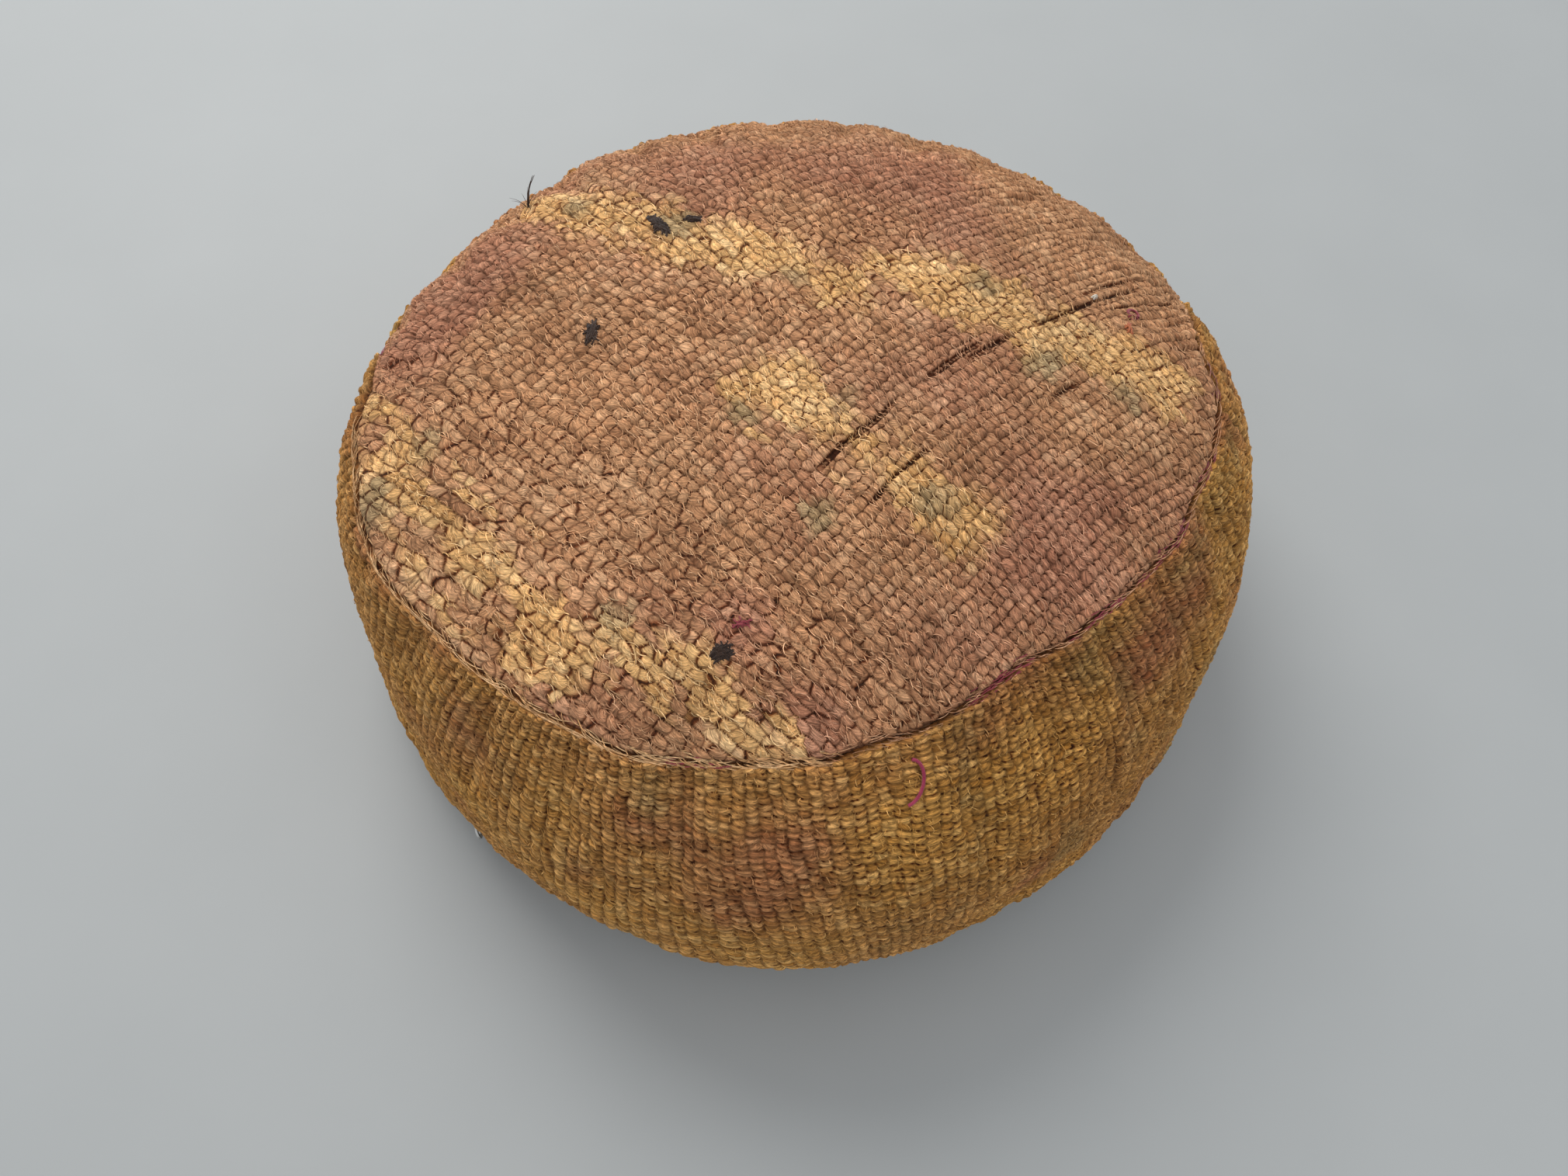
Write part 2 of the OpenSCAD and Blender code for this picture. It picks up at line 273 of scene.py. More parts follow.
def sample(grid, theta, t):
    """The simulated move at an angle and at t from 0 to 1 across the rings, smoothly."""
    rings = grid.shape[0] - 1
    gj = (theta % TAU) / TAU * SEG
    gk = np.clip(t, 0, 1) * rings
    j, k = np.floor(gj).astype(int), np.minimum(np.floor(gk).astype(int), rings - 1)
    fj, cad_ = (gj - j)[..., None], (gk - k)[..., None]
    rows = []
    for dk in (-1, 0, 1, 2):
        row = np.clip(k + dk, 0, rings)
        rows.append(cubic(*(grid[row, (j + dj) % SEG] for dj in (-1, 0, 1, 2)), fj))
    return cubic(*rows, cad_)


top_move, side_move = simulate_cover()


# ---------------------------------------------------------------- knots of the rug
class Knots:
    """Knots in columns along v. Each is a leaning pillow, and those of one group fuse into a strand."""

    def __init__(self, cell_u, cell_v, low, high, place, seed, style, around=None):
        self.cu, self.cv, self.low, self.around = cell_u, cell_v, low, around
        nu, nv = (int(math.ceil((high[k] - low[k]) / c)) for k, c in ((0, cell_u), (1, cell_v)))
        nu = around or nu
        self.nu, self.nv = nu, nv
        iu, iv = np.meshgrid(np.arange(nu), np.arange(nv), indexing="ij")

        def roll(k):
            return hash01(iu, iv, seed + k)

        column = hash01(iu, iu * 0, seed + 2)
        x, y = place((iu + 0.5) * cell_u + low[0], (iv + 0.5) * cell_v + low[1])
        look = style(x, y)
        line = hash01(iv, iv * 0, seed + 3)
        self.pu = (iu + 0.5 + (roll(0) - 0.5) * 2 * look["jitter_u"] + look["slip"] * line) * cell_u
        self.pv = (iv + 0.5 + (roll(1) - 0.5) * 2 * look["jitter_v"] + look["stagger"] * column) * cell_v
        self.x, self.y = x, y
        link = roll(3) < look["merge"]
        link &= ((iv + (hash01(iu, iu * 0, seed + 4) * 4).astype(int)) % 4) != 3
        root = iv.copy()
        still = np.ones_like(link)
        for k in range(1, 4):
            still &= np.roll(link, k, axis=1) & (iv >= k)
            root = np.where(still, iv - k, root)
        self.group = iu * 10000 + root
        spin = look["spin"] + (roll(5) - 0.5) * 2 * look["spin_range"]
        self.cos, self.sin = np.cos(spin), np.sin(spin)
        self.ru = look["ru"] * (0.86 + 0.28 * roll(6))
        self.rv = look["rv"] * (0.86 + 0.28 * roll(7))
        self.top = look["tall"] * (0.75 + 0.5 * roll(8))
        self.up = look["uneven"] * (roll(9) - 0.5) * 2
        self.lean = look["lean"]
        self.rnd = [roll(10 + k) for k in range(4)]
        self.group_rnd = [hash01(iu, root, seed + 20 + k) for k in range(3)]

    def query(self, u, v):
        """For each point: its knot, its height, the step to the next knot, and its place in the knot."""
        gu, gv = u - self.low[0], v - self.low[1]
        iu, iv = np.floor(gu / self.cu).astype(int), np.floor(gv / self.cv).astype(int)
        low = -1e9
        best = np.full(u.shape, low)
        own = np.zeros(u.shape, int)
        own_a, own_b = np.zeros(u.shape), np.zeros(u.shape)
        found = []
        parts = [np.broadcast_to(p, self.pu.shape).ravel().astype(np.float32) for p in
                 (self.pu, self.pv, self.cos, self.sin, self.ru, self.rv, self.top, self.up, self.lean)]
        for du in (-1, 0, 1):
            for dv in (-2, -1, 0, 1, 2):
                ku, kv = iu + du, np.clip(iv + dv, 0, self.nv - 1)
                wrap = 0.0
                if self.around:
                    wrap = np.floor_divide(ku, self.nu) * self.nu * self.cu
                    ku = ku % self.nu
                else:
                    ku = np.clip(ku, 0, self.nu - 1)
                at = ku * self.nv + kv
                pu, pv, cs, sn, ru, rv, tall, up, lean = (p[at] for p in parts)
                a, b = gu - pu - wrap, gv - pv
                la, lb = a * cs + b * sn, b * cs - a * sn
                q = np.abs(la / ru) ** 2.6 + np.abs(lb / rv) ** 2.6
                h = up + tall * (1 - q) - lean * b
                closer = h > best
                best = np.where(closer, h, best)
                own = np.where(closer, at, own)
                own_a, own_b = np.where(closer, la, own_a), np.where(closer, lb, own_b)
                found.append((at, h))
        group = self.group.ravel()
        mine = group[own]
        other = np.full(u.shape, low)
        fused = np.full(u.shape, low)
        for at, h in found:
            same = group[at] == mine
            other = np.maximum(other, np.where(same, low, h))
            fused = np.maximum(fused, np.where(same & (at != own), h, low))
        gap = np.clip(best - fused, 0, 3)
        height = best + 0.28 * np.exp(-gap * 2.2)
        return own, height, best - other, gap, own_a, own_b

    def take(self, values, own):
        """The value of each point's own knot."""
        return np.asarray(values).ravel()[own]


def make_mesh(name, xyz, faces):
    """A smooth-shaded object from points in mm."""
    mesh = bpy.data.meshes.new(name)
    xyz = np.ascontiguousarray(xyz, dtype=np.float32) * np.float32(MM)
    faces = np.ascontiguousarray(faces, dtype=np.int32)
    sides = faces.shape[1]
    mesh.vertices.add(len(xyz))
    mesh.vertices.foreach_set("co", xyz.ravel())
    mesh.loops.add(faces.size)
    mesh.loops.foreach_set("vertex_index", faces.ravel())
    mesh.polygons.add(len(faces))
    mesh.polygons.foreach_set("loop_start", np.arange(0, faces.size, sides, dtype=np.int32))
    mesh.polygons.foreach_set("use_smooth", np.full(len(faces), True))
    mesh.update(calc_edges=True)
    ob = bpy.data.objects.new(name, mesh)
    bpy.context.scene.collection.objects.link(ob)
    return ob


def paint(ob, name, columns):
    """Stores up to four numbers a point for the material to read."""
    data = np.zeros((len(ob.data.vertices), 4), np.float32)
    for k, column in enumerate(columns):
        data[:, k] = np.ravel(column)
    layer = ob.data.attributes.new(name, "FLOAT_COLOR", "POINT")
    layer.data.foreach_set("color", data.ravel())


def paint_vector(ob, name, columns):
    """Stores three numbers a point for the material to read."""
    layer = ob.data.attributes.new(name, "FLOAT_VECTOR", "POINT")
    layer.data.foreach_set("vector", np.stack([np.ravel(c) for c in columns], 1).astype(np.float32).ravel())


def grid_faces(rows, cols, closed):
    """Four-sided faces of a grid of points, which may close along its second axis."""
    k, j = np.meshgrid(np.arange(rows - 1), np.arange(cols if closed else cols - 1), indexing="ij")
    j2 = (j + 1) % cols
    return np.stack([k * cols + j, (k + 1) * cols + j, (k + 1) * cols + j2, k * cols + j2],
                    -1).reshape(-1, 4)


def grid_normals(p):
    """Normals of a grid of points, closed along its second axis."""
    along = np.roll(p, -1, 1) - np.roll(p, 1, 1)
    down = np.gradient(p, axis=0)
    n = np.cross(down, along)
    return n / np.maximum(np.linalg.norm(n, axis=2, keepdims=True), 1e-9)


# ---------------------------------------------------------------- top of the rug
ROW_FAR = 900.0
ROW_TURN = math.radians(134)
ROW_HUB = (-ROW_FAR * math.cos(ROW_TURN), -ROW_FAR * math.sin(ROW_TURN))
CELL_U, CELL_V = 6.2, 6.2
KNOT_W, KNOT_SHRINK, PITCH_SHRINK = 5.9, 0.0026, 0.0026


def rows_uv(x, y):
    """Along the rows of knots and across them. The rows bow round a far hub and narrow as they run right."""
    dx, dy = x - ROW_HUB[0], y - ROW_HUB[1]
    along = (ROW_TURN - np.arctan2(dy, dx)) * ROW_FAR
    width = np.maximum(KNOT_W - KNOT_SHRINK * along, 3)
    pitch = np.maximum(CELL_V - PITCH_SHRINK * along, 3)
    return -CELL_U / KNOT_SHRINK * np.log(width / KNOT_W), (np.hypot(dx, dy) - ROW_FAR) * CELL_V / pitch


def rows_xy(u, v):
    """The place on the top that rows_uv would turn into u and v."""
    along = (KNOT_W - KNOT_W * np.exp(-u * KNOT_SHRINK / CELL_U)) / KNOT_SHRINK
    out = ROW_FAR + v * (CELL_V - PITCH_SHRINK * along) / CELL_V
    angle = ROW_TURN - along / ROW_FAR
    return ROW_HUB[0] + out * np.cos(angle), ROW_HUB[1] + out * np.sin(angle)


def near_line(x, y, points, width):
    """1 on a polyline, fading to 0 a width away."""
    best = np.full(np.shape(x), 1e9)
    for (ax, ay), (bx, by) in zip(points, points[1:]):
        lx, ly = bx - ax, by - ay
        t = np.clip(((x - ax) * lx + (y - ay) * ly) / (lx * lx + ly * ly), 0, 1)
        best = np.minimum(best, np.hypot(x - ax - t * lx, y - ay - t * ly))
    return np.clip(1 - best / width, 0, 1)


# where the dye lies on the top: lines of places, and spots as (x, y, size)
GOLD_BAND = ((-170, 136), (-122, 106), (-58, 74), (-10, 62), (19, 46), (42, 62), (85, 52), (144, 26),
             (200, 4))
GOLD_PATCH = ((-22, -18), (8, -36), (55, -66), (88, -92))
GOLD_LEFT = ((-232, -52), (-200, -76), (-160, -116), (-120, -150))
GOLD_LOW = ((-104, -160), (-66, -166), (-38, -184), (-8, -198))
ROSE_SPOTS = ((-205, 20, 34), (-60, 150, 46), (60, 150, 60), (-185, 60, 30), (-112, -205, 22),
              (120, -90, 46), (-20, -150, 18), (10, -205, 30))
OLIVE_SPOTS = ((26, -25, 12), (15, -90, 12), (72, -78, 14), (-28, -38, 11), (130, 9, 15), (-214, -92, 20),
               (-72, 92, 15), (-6, 52, 13), (96, 60, 12), (168, -8, 12), (-186, -58, 14), (-132, 112, 12),
               (-84, -150, 12))


def dye_masks(x, y):
    """How golden, how olive and how rosy the wool is at a place on the top."""
    wobble = 0.5 * lumps(x, y, 44, 61) + 0.22 * noise(x, y, 12, 67)
    gold = near_line(x, y, GOLD_BAND, 32) + 0.95 * near_line(x, y, GOLD_PATCH, 34)
    gold = gold + 0.7 * near_line(x, y, GOLD_LEFT, 42) + 0.7 * near_line(x, y, GOLD_LOW, 32)
    streak = noise(x + 0.8 * y, (y - 0.8 * x) * 0.3, 9, 69) * smooth(gold / 0.3)
    raw = gold + 0.7 * wobble + (0.28 + 0.3 * (x + y < -60)) * streak
    gold = smooth((raw - 0.26) / 0.5)
    olive = 0.35 * lumps(x, y, 26, 71) - 0.1
    for cx, cy, size in OLIVE_SPOTS:
        olive = olive + 0.8 * np.exp(-(((x - cx) ** 2 + (y - cy) ** 2) / size ** 2) ** 1.5)
    olive = 0.85 * smooth((olive - 0.2) / 0.5)
    rose = 0.75 * lumps(x, y, 80, 81) + 0.04
    for cx, cy, size in ROSE_SPOTS:
        rose = rose + 0.75 * np.exp(-((x - cx) ** 2 + (y - cy) ** 2) / size ** 2)
    return gold, olive, smooth(rose / 0.8) * (1 - 0.8 * gold)


def top_style(x, y):
    """How the knots lie at a place on the top: combed into strands, or round and separate."""
    combed = 1.1 * near_line(x, y, GOLD_LEFT, 66) + 0.8 * near_line(x, y, GOLD_BAND, 44)
    combed = combed + 0.5 * near_line(x, y, GOLD_PATCH, 44) + 1.3 * smooth(-(0.55 * x + 0.83 * y + 85) / 50)
    combed = smooth(1.25 * combed + 0.4 * lumps(x, y, 40, 91) - 0.15)
    even = smooth((x + 0.4 * y) / 160 + 0.3 * lumps(x, y, 60, 93))
    loose = smooth(0.5 + 1.2 * lumps(x, y, 30, 95))
    return {"merge": 0.12 + 0.75 * combed, "jitter_u": 0.26 - 0.12 * even - 0.10 * combed,
            "jitter_v": 0.10 + 0.20 * combed - 0.04 * even, "slip": 0.9 * (combed < 0.45),
            "stagger": 0.9 * combed,
            "spin": -0.10 * (1 - combed), "spin_range": 0.34 - 0.10 * even - 0.20 * combed,
            "ru": 3.75 - 0.25 * combed + 0.2 * loose, "rv": 3.65 + 3.2 * combed,
            "tall": 1.9 + 0.3 * loose - 0.2 * combed, "uneven": 0.40 - 0.2 * combed,
            "lean": 0.21 - 0.13 * combed}


# (place across the rows, from, to, half of the width, seed) of the stretches where the weft shows
OPEN_ROWS = ((-53, -45, 95, 1.6, 51), (-60, 70, 230, 1.5, 52), (-52, 170, 250, 1.1, 53),
             (-74, 175, 260, 1.1, 54), (-104, 90, 130, 1.4, 55), (-86, -40, 20, 1.0, 56))


def open_rows(u, v):
    """Where the rows part and the weft shows, with its small beads. Its darkness between the beads is
    painted shade, laid on in build_top.
    """
    gap = np.zeros_like(u)
    for at, start, end, half, seed in OPEN_ROWS:
        line = v - at - 3.5 * noise(u, u * 0, 90, seed)
        span = smooth((u - start) / 12) * smooth((end - u) / 12)
        shown = span * smooth(0.9 + 1.1 * noise(u, u * 0 + at, 30, seed + 10))
        gap = np.maximum(gap, shown * smooth((half + 0.7 - np.abs(line)) / 0.9))
    return gap


TOP_GRID = 600    # cells along each side of the top's grid of points


def build_top():
    """The top of the rug, and the grids that its loose fibres lie on."""
    n = TOP_GRID
    a, b = np.meshgrid(np.linspace(-1, 1, n + 1), np.linspace(-1, 1, n + 1), indexing="ij")
    wide = np.abs(a) >= np.abs(b)
    with np.errstate(divide="ignore", invalid="ignore"):
        theta = np.where(wide, (math.pi / 4) * b / a, math.pi / 2 - (math.pi / 4) * a / b)
    theta = np.nan_to_num(theta)
    rho = np.where(wide, a, b)
    x0, y0 = rho * np.cos(theta), rho * np.sin(theta)
    rho, theta = np.hypot(x0, y0), np.arctan2(y0, x0)
    arc = rho * (seam_arc(theta) - 0.6)
    r, z = section(theta, arc)
    move = sample(top_move, theta, rho)
    p = np.stack([r * np.cos(theta), r * np.sin(theta), z], 2) + move
    normal = np.cross(np.gradient(p, axis=0), np.gradient(p, axis=1))
    normal /= np.maximum(np.linalg.norm(normal, axis=2, keepdims=True), 1e-9)
    inside = seam_arc(theta) - arc
    # the pattern is laid out flat, so that it isn't stretched where the top folds over
    past = np.maximum(arc - TOP_R, 0) * 0.75
    x, y = p[..., 0] + past * np.cos(theta), p[..., 1] + past * np.sin(theta)
    u, v = rows_uv(x, y)
    wu = u + 3.4 * lumps(u, v, 60, 11) + 1.1 * noise(u, v, 15, 12)
    wv = v + 4.0 * lumps(u, v, 70, 21) + 0.8 * noise(u, v, 19, 22)
    field = Knots(CELL_U, CELL_V, (-300.0, -400.0), (430.0, 400.0), rows_xy, 100, top_style)
    own, height, step, gap, fa, fb = field.query(wu, wv)
    r1, r2, r3, r4 = (field.take(values, own) for values in field.rnd)
    g1, g2, g3 = (field.take(values, own) for values in field.group_rnd)
    parted = open_rows(u, wv)
    line_turn = wv * TAU / 2.5
    bead = 0.5 + 0.5 * np.cos(u * TAU / 2.7 + 0.5 * line_turn + 2 * noise(u, v, 8, 31))
    bead = bead * (0.5 + 0.5 * np.cos(line_turn)) * smooth(0.8 + 1.2 * noise(u, v, 5, 32))
    height = np.maximum(height, -0.9 + 0.3 * bead)
    height = height * (1 - parted) + (1.1 * bead - 0.5) * parted
    height = height + 0.2 * noise(u, v, 2.3, 33)
    # the edge turns down into the seam
    height = height * smooth((inside + 1.0) / 5.0)
    height -= 2.5 * np.exp(-(inside / 1.8) ** 2) - 0.7 * np.exp(-((inside - 8) / 4.0) ** 2)
    xyz = p + normal * (height - 1.4)[..., None]
    ob = make_mesh("top_rug", xyz.reshape(-1, 3), grid_faces(n + 1, n + 1, False))
    mix = 0.55
    px, py = rows_xy(field.take(field.pu + field.low[0], own), field.take(field.pv + field.low[1], own))
    kx = x + (px - x) * mix + 7 * (r2 - 0.5)
    ky = y + (py - y) * mix + 7 * (r3 - 0.5)
    gold, olive, rose = dye_masks(kx, ky)
    tops = field.take(np.broadcast_to(field.top, field.pu.shape) + field.up, own)
    # Painted shade in the crevices between knots: darkest where a knot goes under its neighbour, with some
    # more in the grooves between fused knots. In the parted rows it falls between the beads of the weft.
    crevice_shade = painted_crevice_shade(step, fb + 0.4 * fa, 0.78, u, v) * (0.7 + 0.3 * smooth(gap / 0.5))
    crevice_shade = crevice_shade * (1 - parted) + parted * smooth(1.5 * bead + 0.22)
    # Painted shade low on each knot and a slight painted highlight on its top, by its height.
    level = smooth((height - tops + 2.1) / 2.1)
    tone = 0.5 + 0.3 * (r4 - 0.5) + 0.35 * (g1 - 0.5) + 0.16 * noise(x, y, 26, 37)
    paint(ob, "dye", (gold, olive, rose, tone))
    # The knot numbers hold painted light: the crevices' shade, the shade and highlight by height, and
    # painted shade where the edge turns down into the seam.
    paint(ob, "knot", (crevice_shade, level, smooth(inside / 3.4)))
    spin = (g2 - 0.5) * 1.5 + (r1 - 0.5) * 0.9 + 0.12 * fb
    ga, gb = fa * np.cos(spin) - fb * np.sin(spin), fa * np.sin(spin) + fb * np.cos(spin)
    paint_vector(ob, "fibre", (gb, ga, 40 * r3 + 17 * g3))
    return ob, (xyz, p, normal, np.stack([gold, olive, rose, tone], 2))


def painted_crevice_shade(step, along, width, u, v):
    """Painted shade between knots: 0 in the crevices and 1 on a knot. The painted shade is darkest where a
    knot goes under its neighbour, and broken.
    """
    under = 0.5 + 0.5 * smooth(0.45 + along / 2.4)
    broken = 0.8 + 0.2 * smooth(0.5 + 1.1 * noise(u, v, 9, 35))
    return 1 - (1 - smooth(step / width)) * under * broken


# ---------------------------------------------------------------- side band of the rug
def zip_open(theta):
    """1 along the zip, 0 past its ends."""
    mid, half = (ZIP_FROM + ZIP_TO) / 2, (ZIP_TO - ZIP_FROM) / 2
    return smooth((half - np.abs(turn_diff(theta, mid))) / math.radians(2.5) + 0.35)


def at_angle(theta, degrees, width):
    """1 at an angle, fading out over a width, both in degrees."""
    return np.exp(-(turn_diff(theta, math.radians(degrees)) / math.radians(width)) ** 2)


def band_masks(theta, s):
    """Dye of the band at an angle and a distance below the top seam, in mm."""
    u = theta * BULGE_R
    gold = smooth((0.8 * lumps(u, s, 62, 161) + 0.2) / 0.8)
    side = at_angle(theta, -30, 30) + 0.5 * at_angle(theta, 150, 40) + 0.35 * at_angle(theta, -100, 18)
    olive = smooth((0.9 * lumps(u, s, 30, 171) + 0.35 * side - 0.3) / 0.6)
    rose = 0.8 * lumps(u, s, 50, 181) + 0.45 * side - 0.1 + 0.5 * np.exp(-s / 16)
    return gold, olive * 0.6, smooth(rose / 0.7) * (1 - 0.6 * gold)


def rope_zone(theta, s):
    """1 where the knots of the band are twisted into slanting ropes."""
    at = at_angle(theta, -172, 26) + 0.8 * at_angle(theta, 60, 28)
    return smooth(at * smooth((s - 25) / 40) * 1.3 + 0.2 * noise(theta * BULGE_R, s, 50, 195))


def cobble_zone(theta, s):
    """Near the seam and towards the right the knots are round, elsewhere they lie flat like rungs."""
    u = theta * BULGE_R
    at = np.exp(-(s / 46) ** 2) + 0.9 * at_angle(theta, -25, 26) + 0.6 * at_angle(theta, 120, 40)
    return smooth(at + 0.5 * lumps(u, s, 46, 197) - 0.25)


def band_style(theta, s):
    """How the knots lie at a place on the band."""
    rope, cobble = rope_zone(theta, s), cobble_zone(theta, s)
    return {"merge": 0.08 + 0.2 * cobble + 0.55 * rope, "jitter_u": 0.08 + 0.06 * cobble,
            "jitter_v": 0.14 + 0.04 * cobble, "slip": 0.0, "stagger": 0.8,
            "spin": 0.10 + 0.75 * rope, "spin_range": 0.22 + 0.1 * cobble,
            "ru": 4.3 - 0.6 * cobble - 0.2 * rope, "rv": 2.05 + 0.45 * cobble + 0.5 * rope,
            "tall": 1.9 + 0.35 * cobble, "uneven": 0.36, "lean": 0.26 + 0.03 * cobble}


def build_band():
    """The band of the rug, and the grids that its loose fibres lie on."""
    cols, rows = 1220, 244
    t, theta = np.meshgrid(np.linspace(0, 1, rows), np.arange(cols) * TAU / cols, indexing="ij")
    # along the zip the band stops at the slot, elsewhere at the base seam
    stop = 1 - 0.034 * zip_open(theta)
    tt = t * stop
    r, z = band_point(theta, tt)
    p = np.stack([r * np.cos(theta), r * np.sin(theta), z], 2) + sample(side_move, theta, tt)
    normal = grid_normals(p)
    length = TOP_R + BAND_L - seam_arc(theta)
    s = tt * length
    left = length * stop - s
    down = BAND_L - length + s
    u = theta * BULGE_R
    columns = 238
    field = Knots(BULGE_R * TAU / columns, 3.6, (0.0, -14.0), (0.0, BAND_L + 20.0),
                  lambda a, b: (a / BULGE_R, b), 500, band_style, around=columns)
    wu = u + 3.2 * lumps(u, down, 50, 211) + 0.8 * noise(u, down, 12, 212)
    wu = wu + 0.30 * noise(u, down * 0.4, 110, 213) * (down - 60)
    wv = down + 2.6 * lumps(u, down, 44, 221) + 0.6 * noise(u, down, 9, 222)
    own, height, step, gap, fa, fb = field.query(wu % (BULGE_R * TAU), wv)
    r1, _, r3, r4 = (field.take(values, own) for values in field.rnd)
    g1, g2, g3 = (field.take(values, own) for values in field.group_rnd)
    height = np.maximum(height, -0.5)
    # creases run down between some of the columns
    crease = np.abs(noise(wu, down * 0.12, 17, 241)) + 0.25 * np.abs(noise(wu, down * 0.2, 7, 242))
    crease = (1 - smooth(crease / 0.10)) * smooth((down - 18) / 30)
    height = height - 0.8 * crease + 0.14 * noise(u, down, 2.2, 233)
    height = height * smooth((s + 1.0) / 4.5)
    gather = 0.5 + 0.5 * np.sin(u * TAU / 5.2 + 3 * noise(u, u * 0, 30, 251))
    height -= 2.4 * np.exp(-(s / 1.8) ** 2) - (0.6 + 0.9 * gather) * np.exp(-((s - 6.0) / 3.2) ** 2)
    height = height * smooth((left + 1.0) / 4.0)
    height -= 4.5 * np.exp(-(left / 2.2) ** 2)
    xyz = p + normal * (height - 1.0)[..., None]
    ob = make_mesh("band_rug", xyz.reshape(-1, 3), grid_faces(rows, cols, True))
    kt, ks = field.take(field.x, own), field.take(field.y, own)
    kt = theta + turn_diff(kt, theta) * 0.6
    gold, olive, rose = band_masks(kt, ks * 0.6 + down * 0.4 - (down - s))
    # Painted shade in the crevices between knots: darkest where a knot goes under its neighbour, with some
    # more in the grooves between fused knots and in the creases.
    crevice_shade = painted_crevice_shade(step, fb, 0.62, u, down) * (0.75 + 0.25 * smooth(gap / 0.5)) * (1 - 0.3 * crease)
    tops = field.take(np.broadcast_to(field.top, field.pu.shape) + field.up, own)
    # Painted shade low on each knot and a slight painted highlight on its top, by its height.
    level = smooth((height - tops + 1.9) / 1.9)
    # Each knot's tone differs at random, and the band's right front, round -52 degrees, is darkened as
    # painted shade.
    tone = 0.5 * r4 + 0.5 * g1 - 0.22 * at_angle(theta, -52, 24)
    paint(ob, "dye", (gold, olive, rose, tone))
    # The knot numbers hold painted light: the crevices' shade, the shade and highlight by height, and
    # painted shade where the band turns into the top seam.
    paint(ob, "knot", (crevice_shade, level, smooth(s / 3.4)))
    spin = (g2 - 0.5) * 0.8 + (r1 - 0.5) * 0.6
    ga, gb = fa * np.cos(spin) - fb * np.sin(spin), fa * np.sin(spin) + fb * np.cos(spin)
    paint_vector(ob, "fibre", (ga, gb, 40 * r3 + 17 * g3))
    return ob, (xyz, p, normal, np.stack([gold, olive, rose, tone], 2))


# ---------------------------------------------------------------- base cloth
def build_base():
    """The cloth under the cushion: a flat floor, a rounded corner and a short rise to the seam."""
    cols = 720
    theta = np.arange(cols) * TAU / cols
    lower = zip_open(theta)
    rings = [(np.full(cols, rr), np.zeros(cols)) for rr in np.linspace(0.5, FOOT_R, 130)]
    corner = 18
    corner_r = BASE_R - 1 - FOOT_R
    for k in range(1, corner + 1):
        turn = math.pi / 2 * k / corner
        rings.append((np.full(cols, FOOT_R + corner_r * math.sin(turn)),
                      np.full(cols, FOOT_CORNER_Z * (1 - math.cos(turn)))))
    rise = (BASE_Z - FOOT_CORNER_Z) * (1 - lower) + 0.8 * lower
    for k in range(1, 7):
        rings.append((np.full(cols, BASE_R - 1 + k / 6), FOOT_CORNER_Z + rise * k / 6))
    r, z = (np.array(column) for column in zip(*rings))
    th = np.broadcast_to(theta, r.shape)
    x, y = r * np.cos(th), r * np.sin(th)
    p = np.stack([x, y, z], 2)
    puckers = 0.5 * noise(th * 60, r * 0.15, 3.0, 301) + 0.3 * lumps(x, y, 25, 303)
    puckers = smooth((r - 190) / 45) * puckers
    left = np.arange(len(rings))[::-1][:, None] * np.ones(cols)
    normal = grid_normals(p)
    inward = 0.05 + 0.45 * puckers + 2.6 * np.exp(-(left / 2.2) ** 2) * (1 - lower)
    lifted = p + normal * np.maximum(inward, 0.02)[..., None]
    return make_mesh("base_cloth", lifted.reshape(-1, 3), grid_faces(len(rings), cols, True)[:, ::-1])


# ---------------------------------------------------------------- inner bag and filling
FLOOR_T, RUG_T = 7.6, 9.5    # room that the base and the rug take up outside the bag
BAG_FLOOR_R, BAG_FOOT_R, BAG_FOOT_Z, BAG_CORNER_Z = 222, 242, 23.6, 16
BAG_FOOT_B = 123.0    # half height of the bag's side below its widest level


def settled(theta, r, z):
    """A point of the round cushion, moved as the settled cover moves."""
    return r + shift_out(theta, z) * np.minimum(1, (r / TOP_R) ** 2)


def inner_profile(inset):
    """Radius and height of the inner bag from the middle of its floor to its crown."""
    corner_r, corner_z = BAG_FOOT_R - BAG_FLOOR_R - inset, BAG_CORNER_Z - inset
    rz = [(r, FLOOR_T + inset) for r in np.linspace(0.5, BAG_FLOOR_R, 24)]
    rz += [(BAG_FLOOR_R + corner_r * math.sin(a), BAG_FOOT_Z - corner_z * math.cos(a))
           for a in np.linspace(0.2, math.pi / 2, 6)]
    for turn in np.radians(np.linspace(-40, 58, 40)):
        b = BULGE_B_TOP - RUG_T if turn > 0 else BAG_FOOT_B
        rz.append((BULGE_CORE + (BULGE_A - RUG_T - inset) * math.cos(turn),
                   BULGE_Z + (b - inset) * math.sin(turn)))
    for r in np.linspace(200, 0.5, 34):
        rho = r / TOP_R
        rz.append((r, TOP_Z + (CROWN_Z - TOP_Z) * (1 - rho ** CROWN_POWER) - RUG_T - 1.5 - inset))
    return np.array(rz)


def build_inner(name, inset, first, last, wrinkle, seed):
    """A panel of the inner bag, or its filling: some rows of the profile, turned round and creased."""
    cols = 220
    theta = np.arange(cols) * TAU / cols
    rz = inner_profile(inset)[first:last]
    th = np.broadcast_to(theta, (len(rz), cols))
    r0 = np.broadcast_to(rz[:, :1], th.shape)
    z0 = np.broadcast_to(rz[:, 1:], th.shape)
    r = settled(th, r0, z0)
    p = np.stack([r * np.cos(th), r * np.sin(th), z0], 2)
    folds = np.abs(noise(th * 70, z0 + r0 * 0.4, 14, seed)) + 0.5 * np.abs(noise(th * 150, z0, 9, seed + 1))
    p = p + grid_normals(p) * (wrinkle * folds * smooth(r0 / 60))[..., None]
    return make_mesh(name, p.reshape(-1, 3), grid_faces(len(rz), cols, True)[:, ::-1])


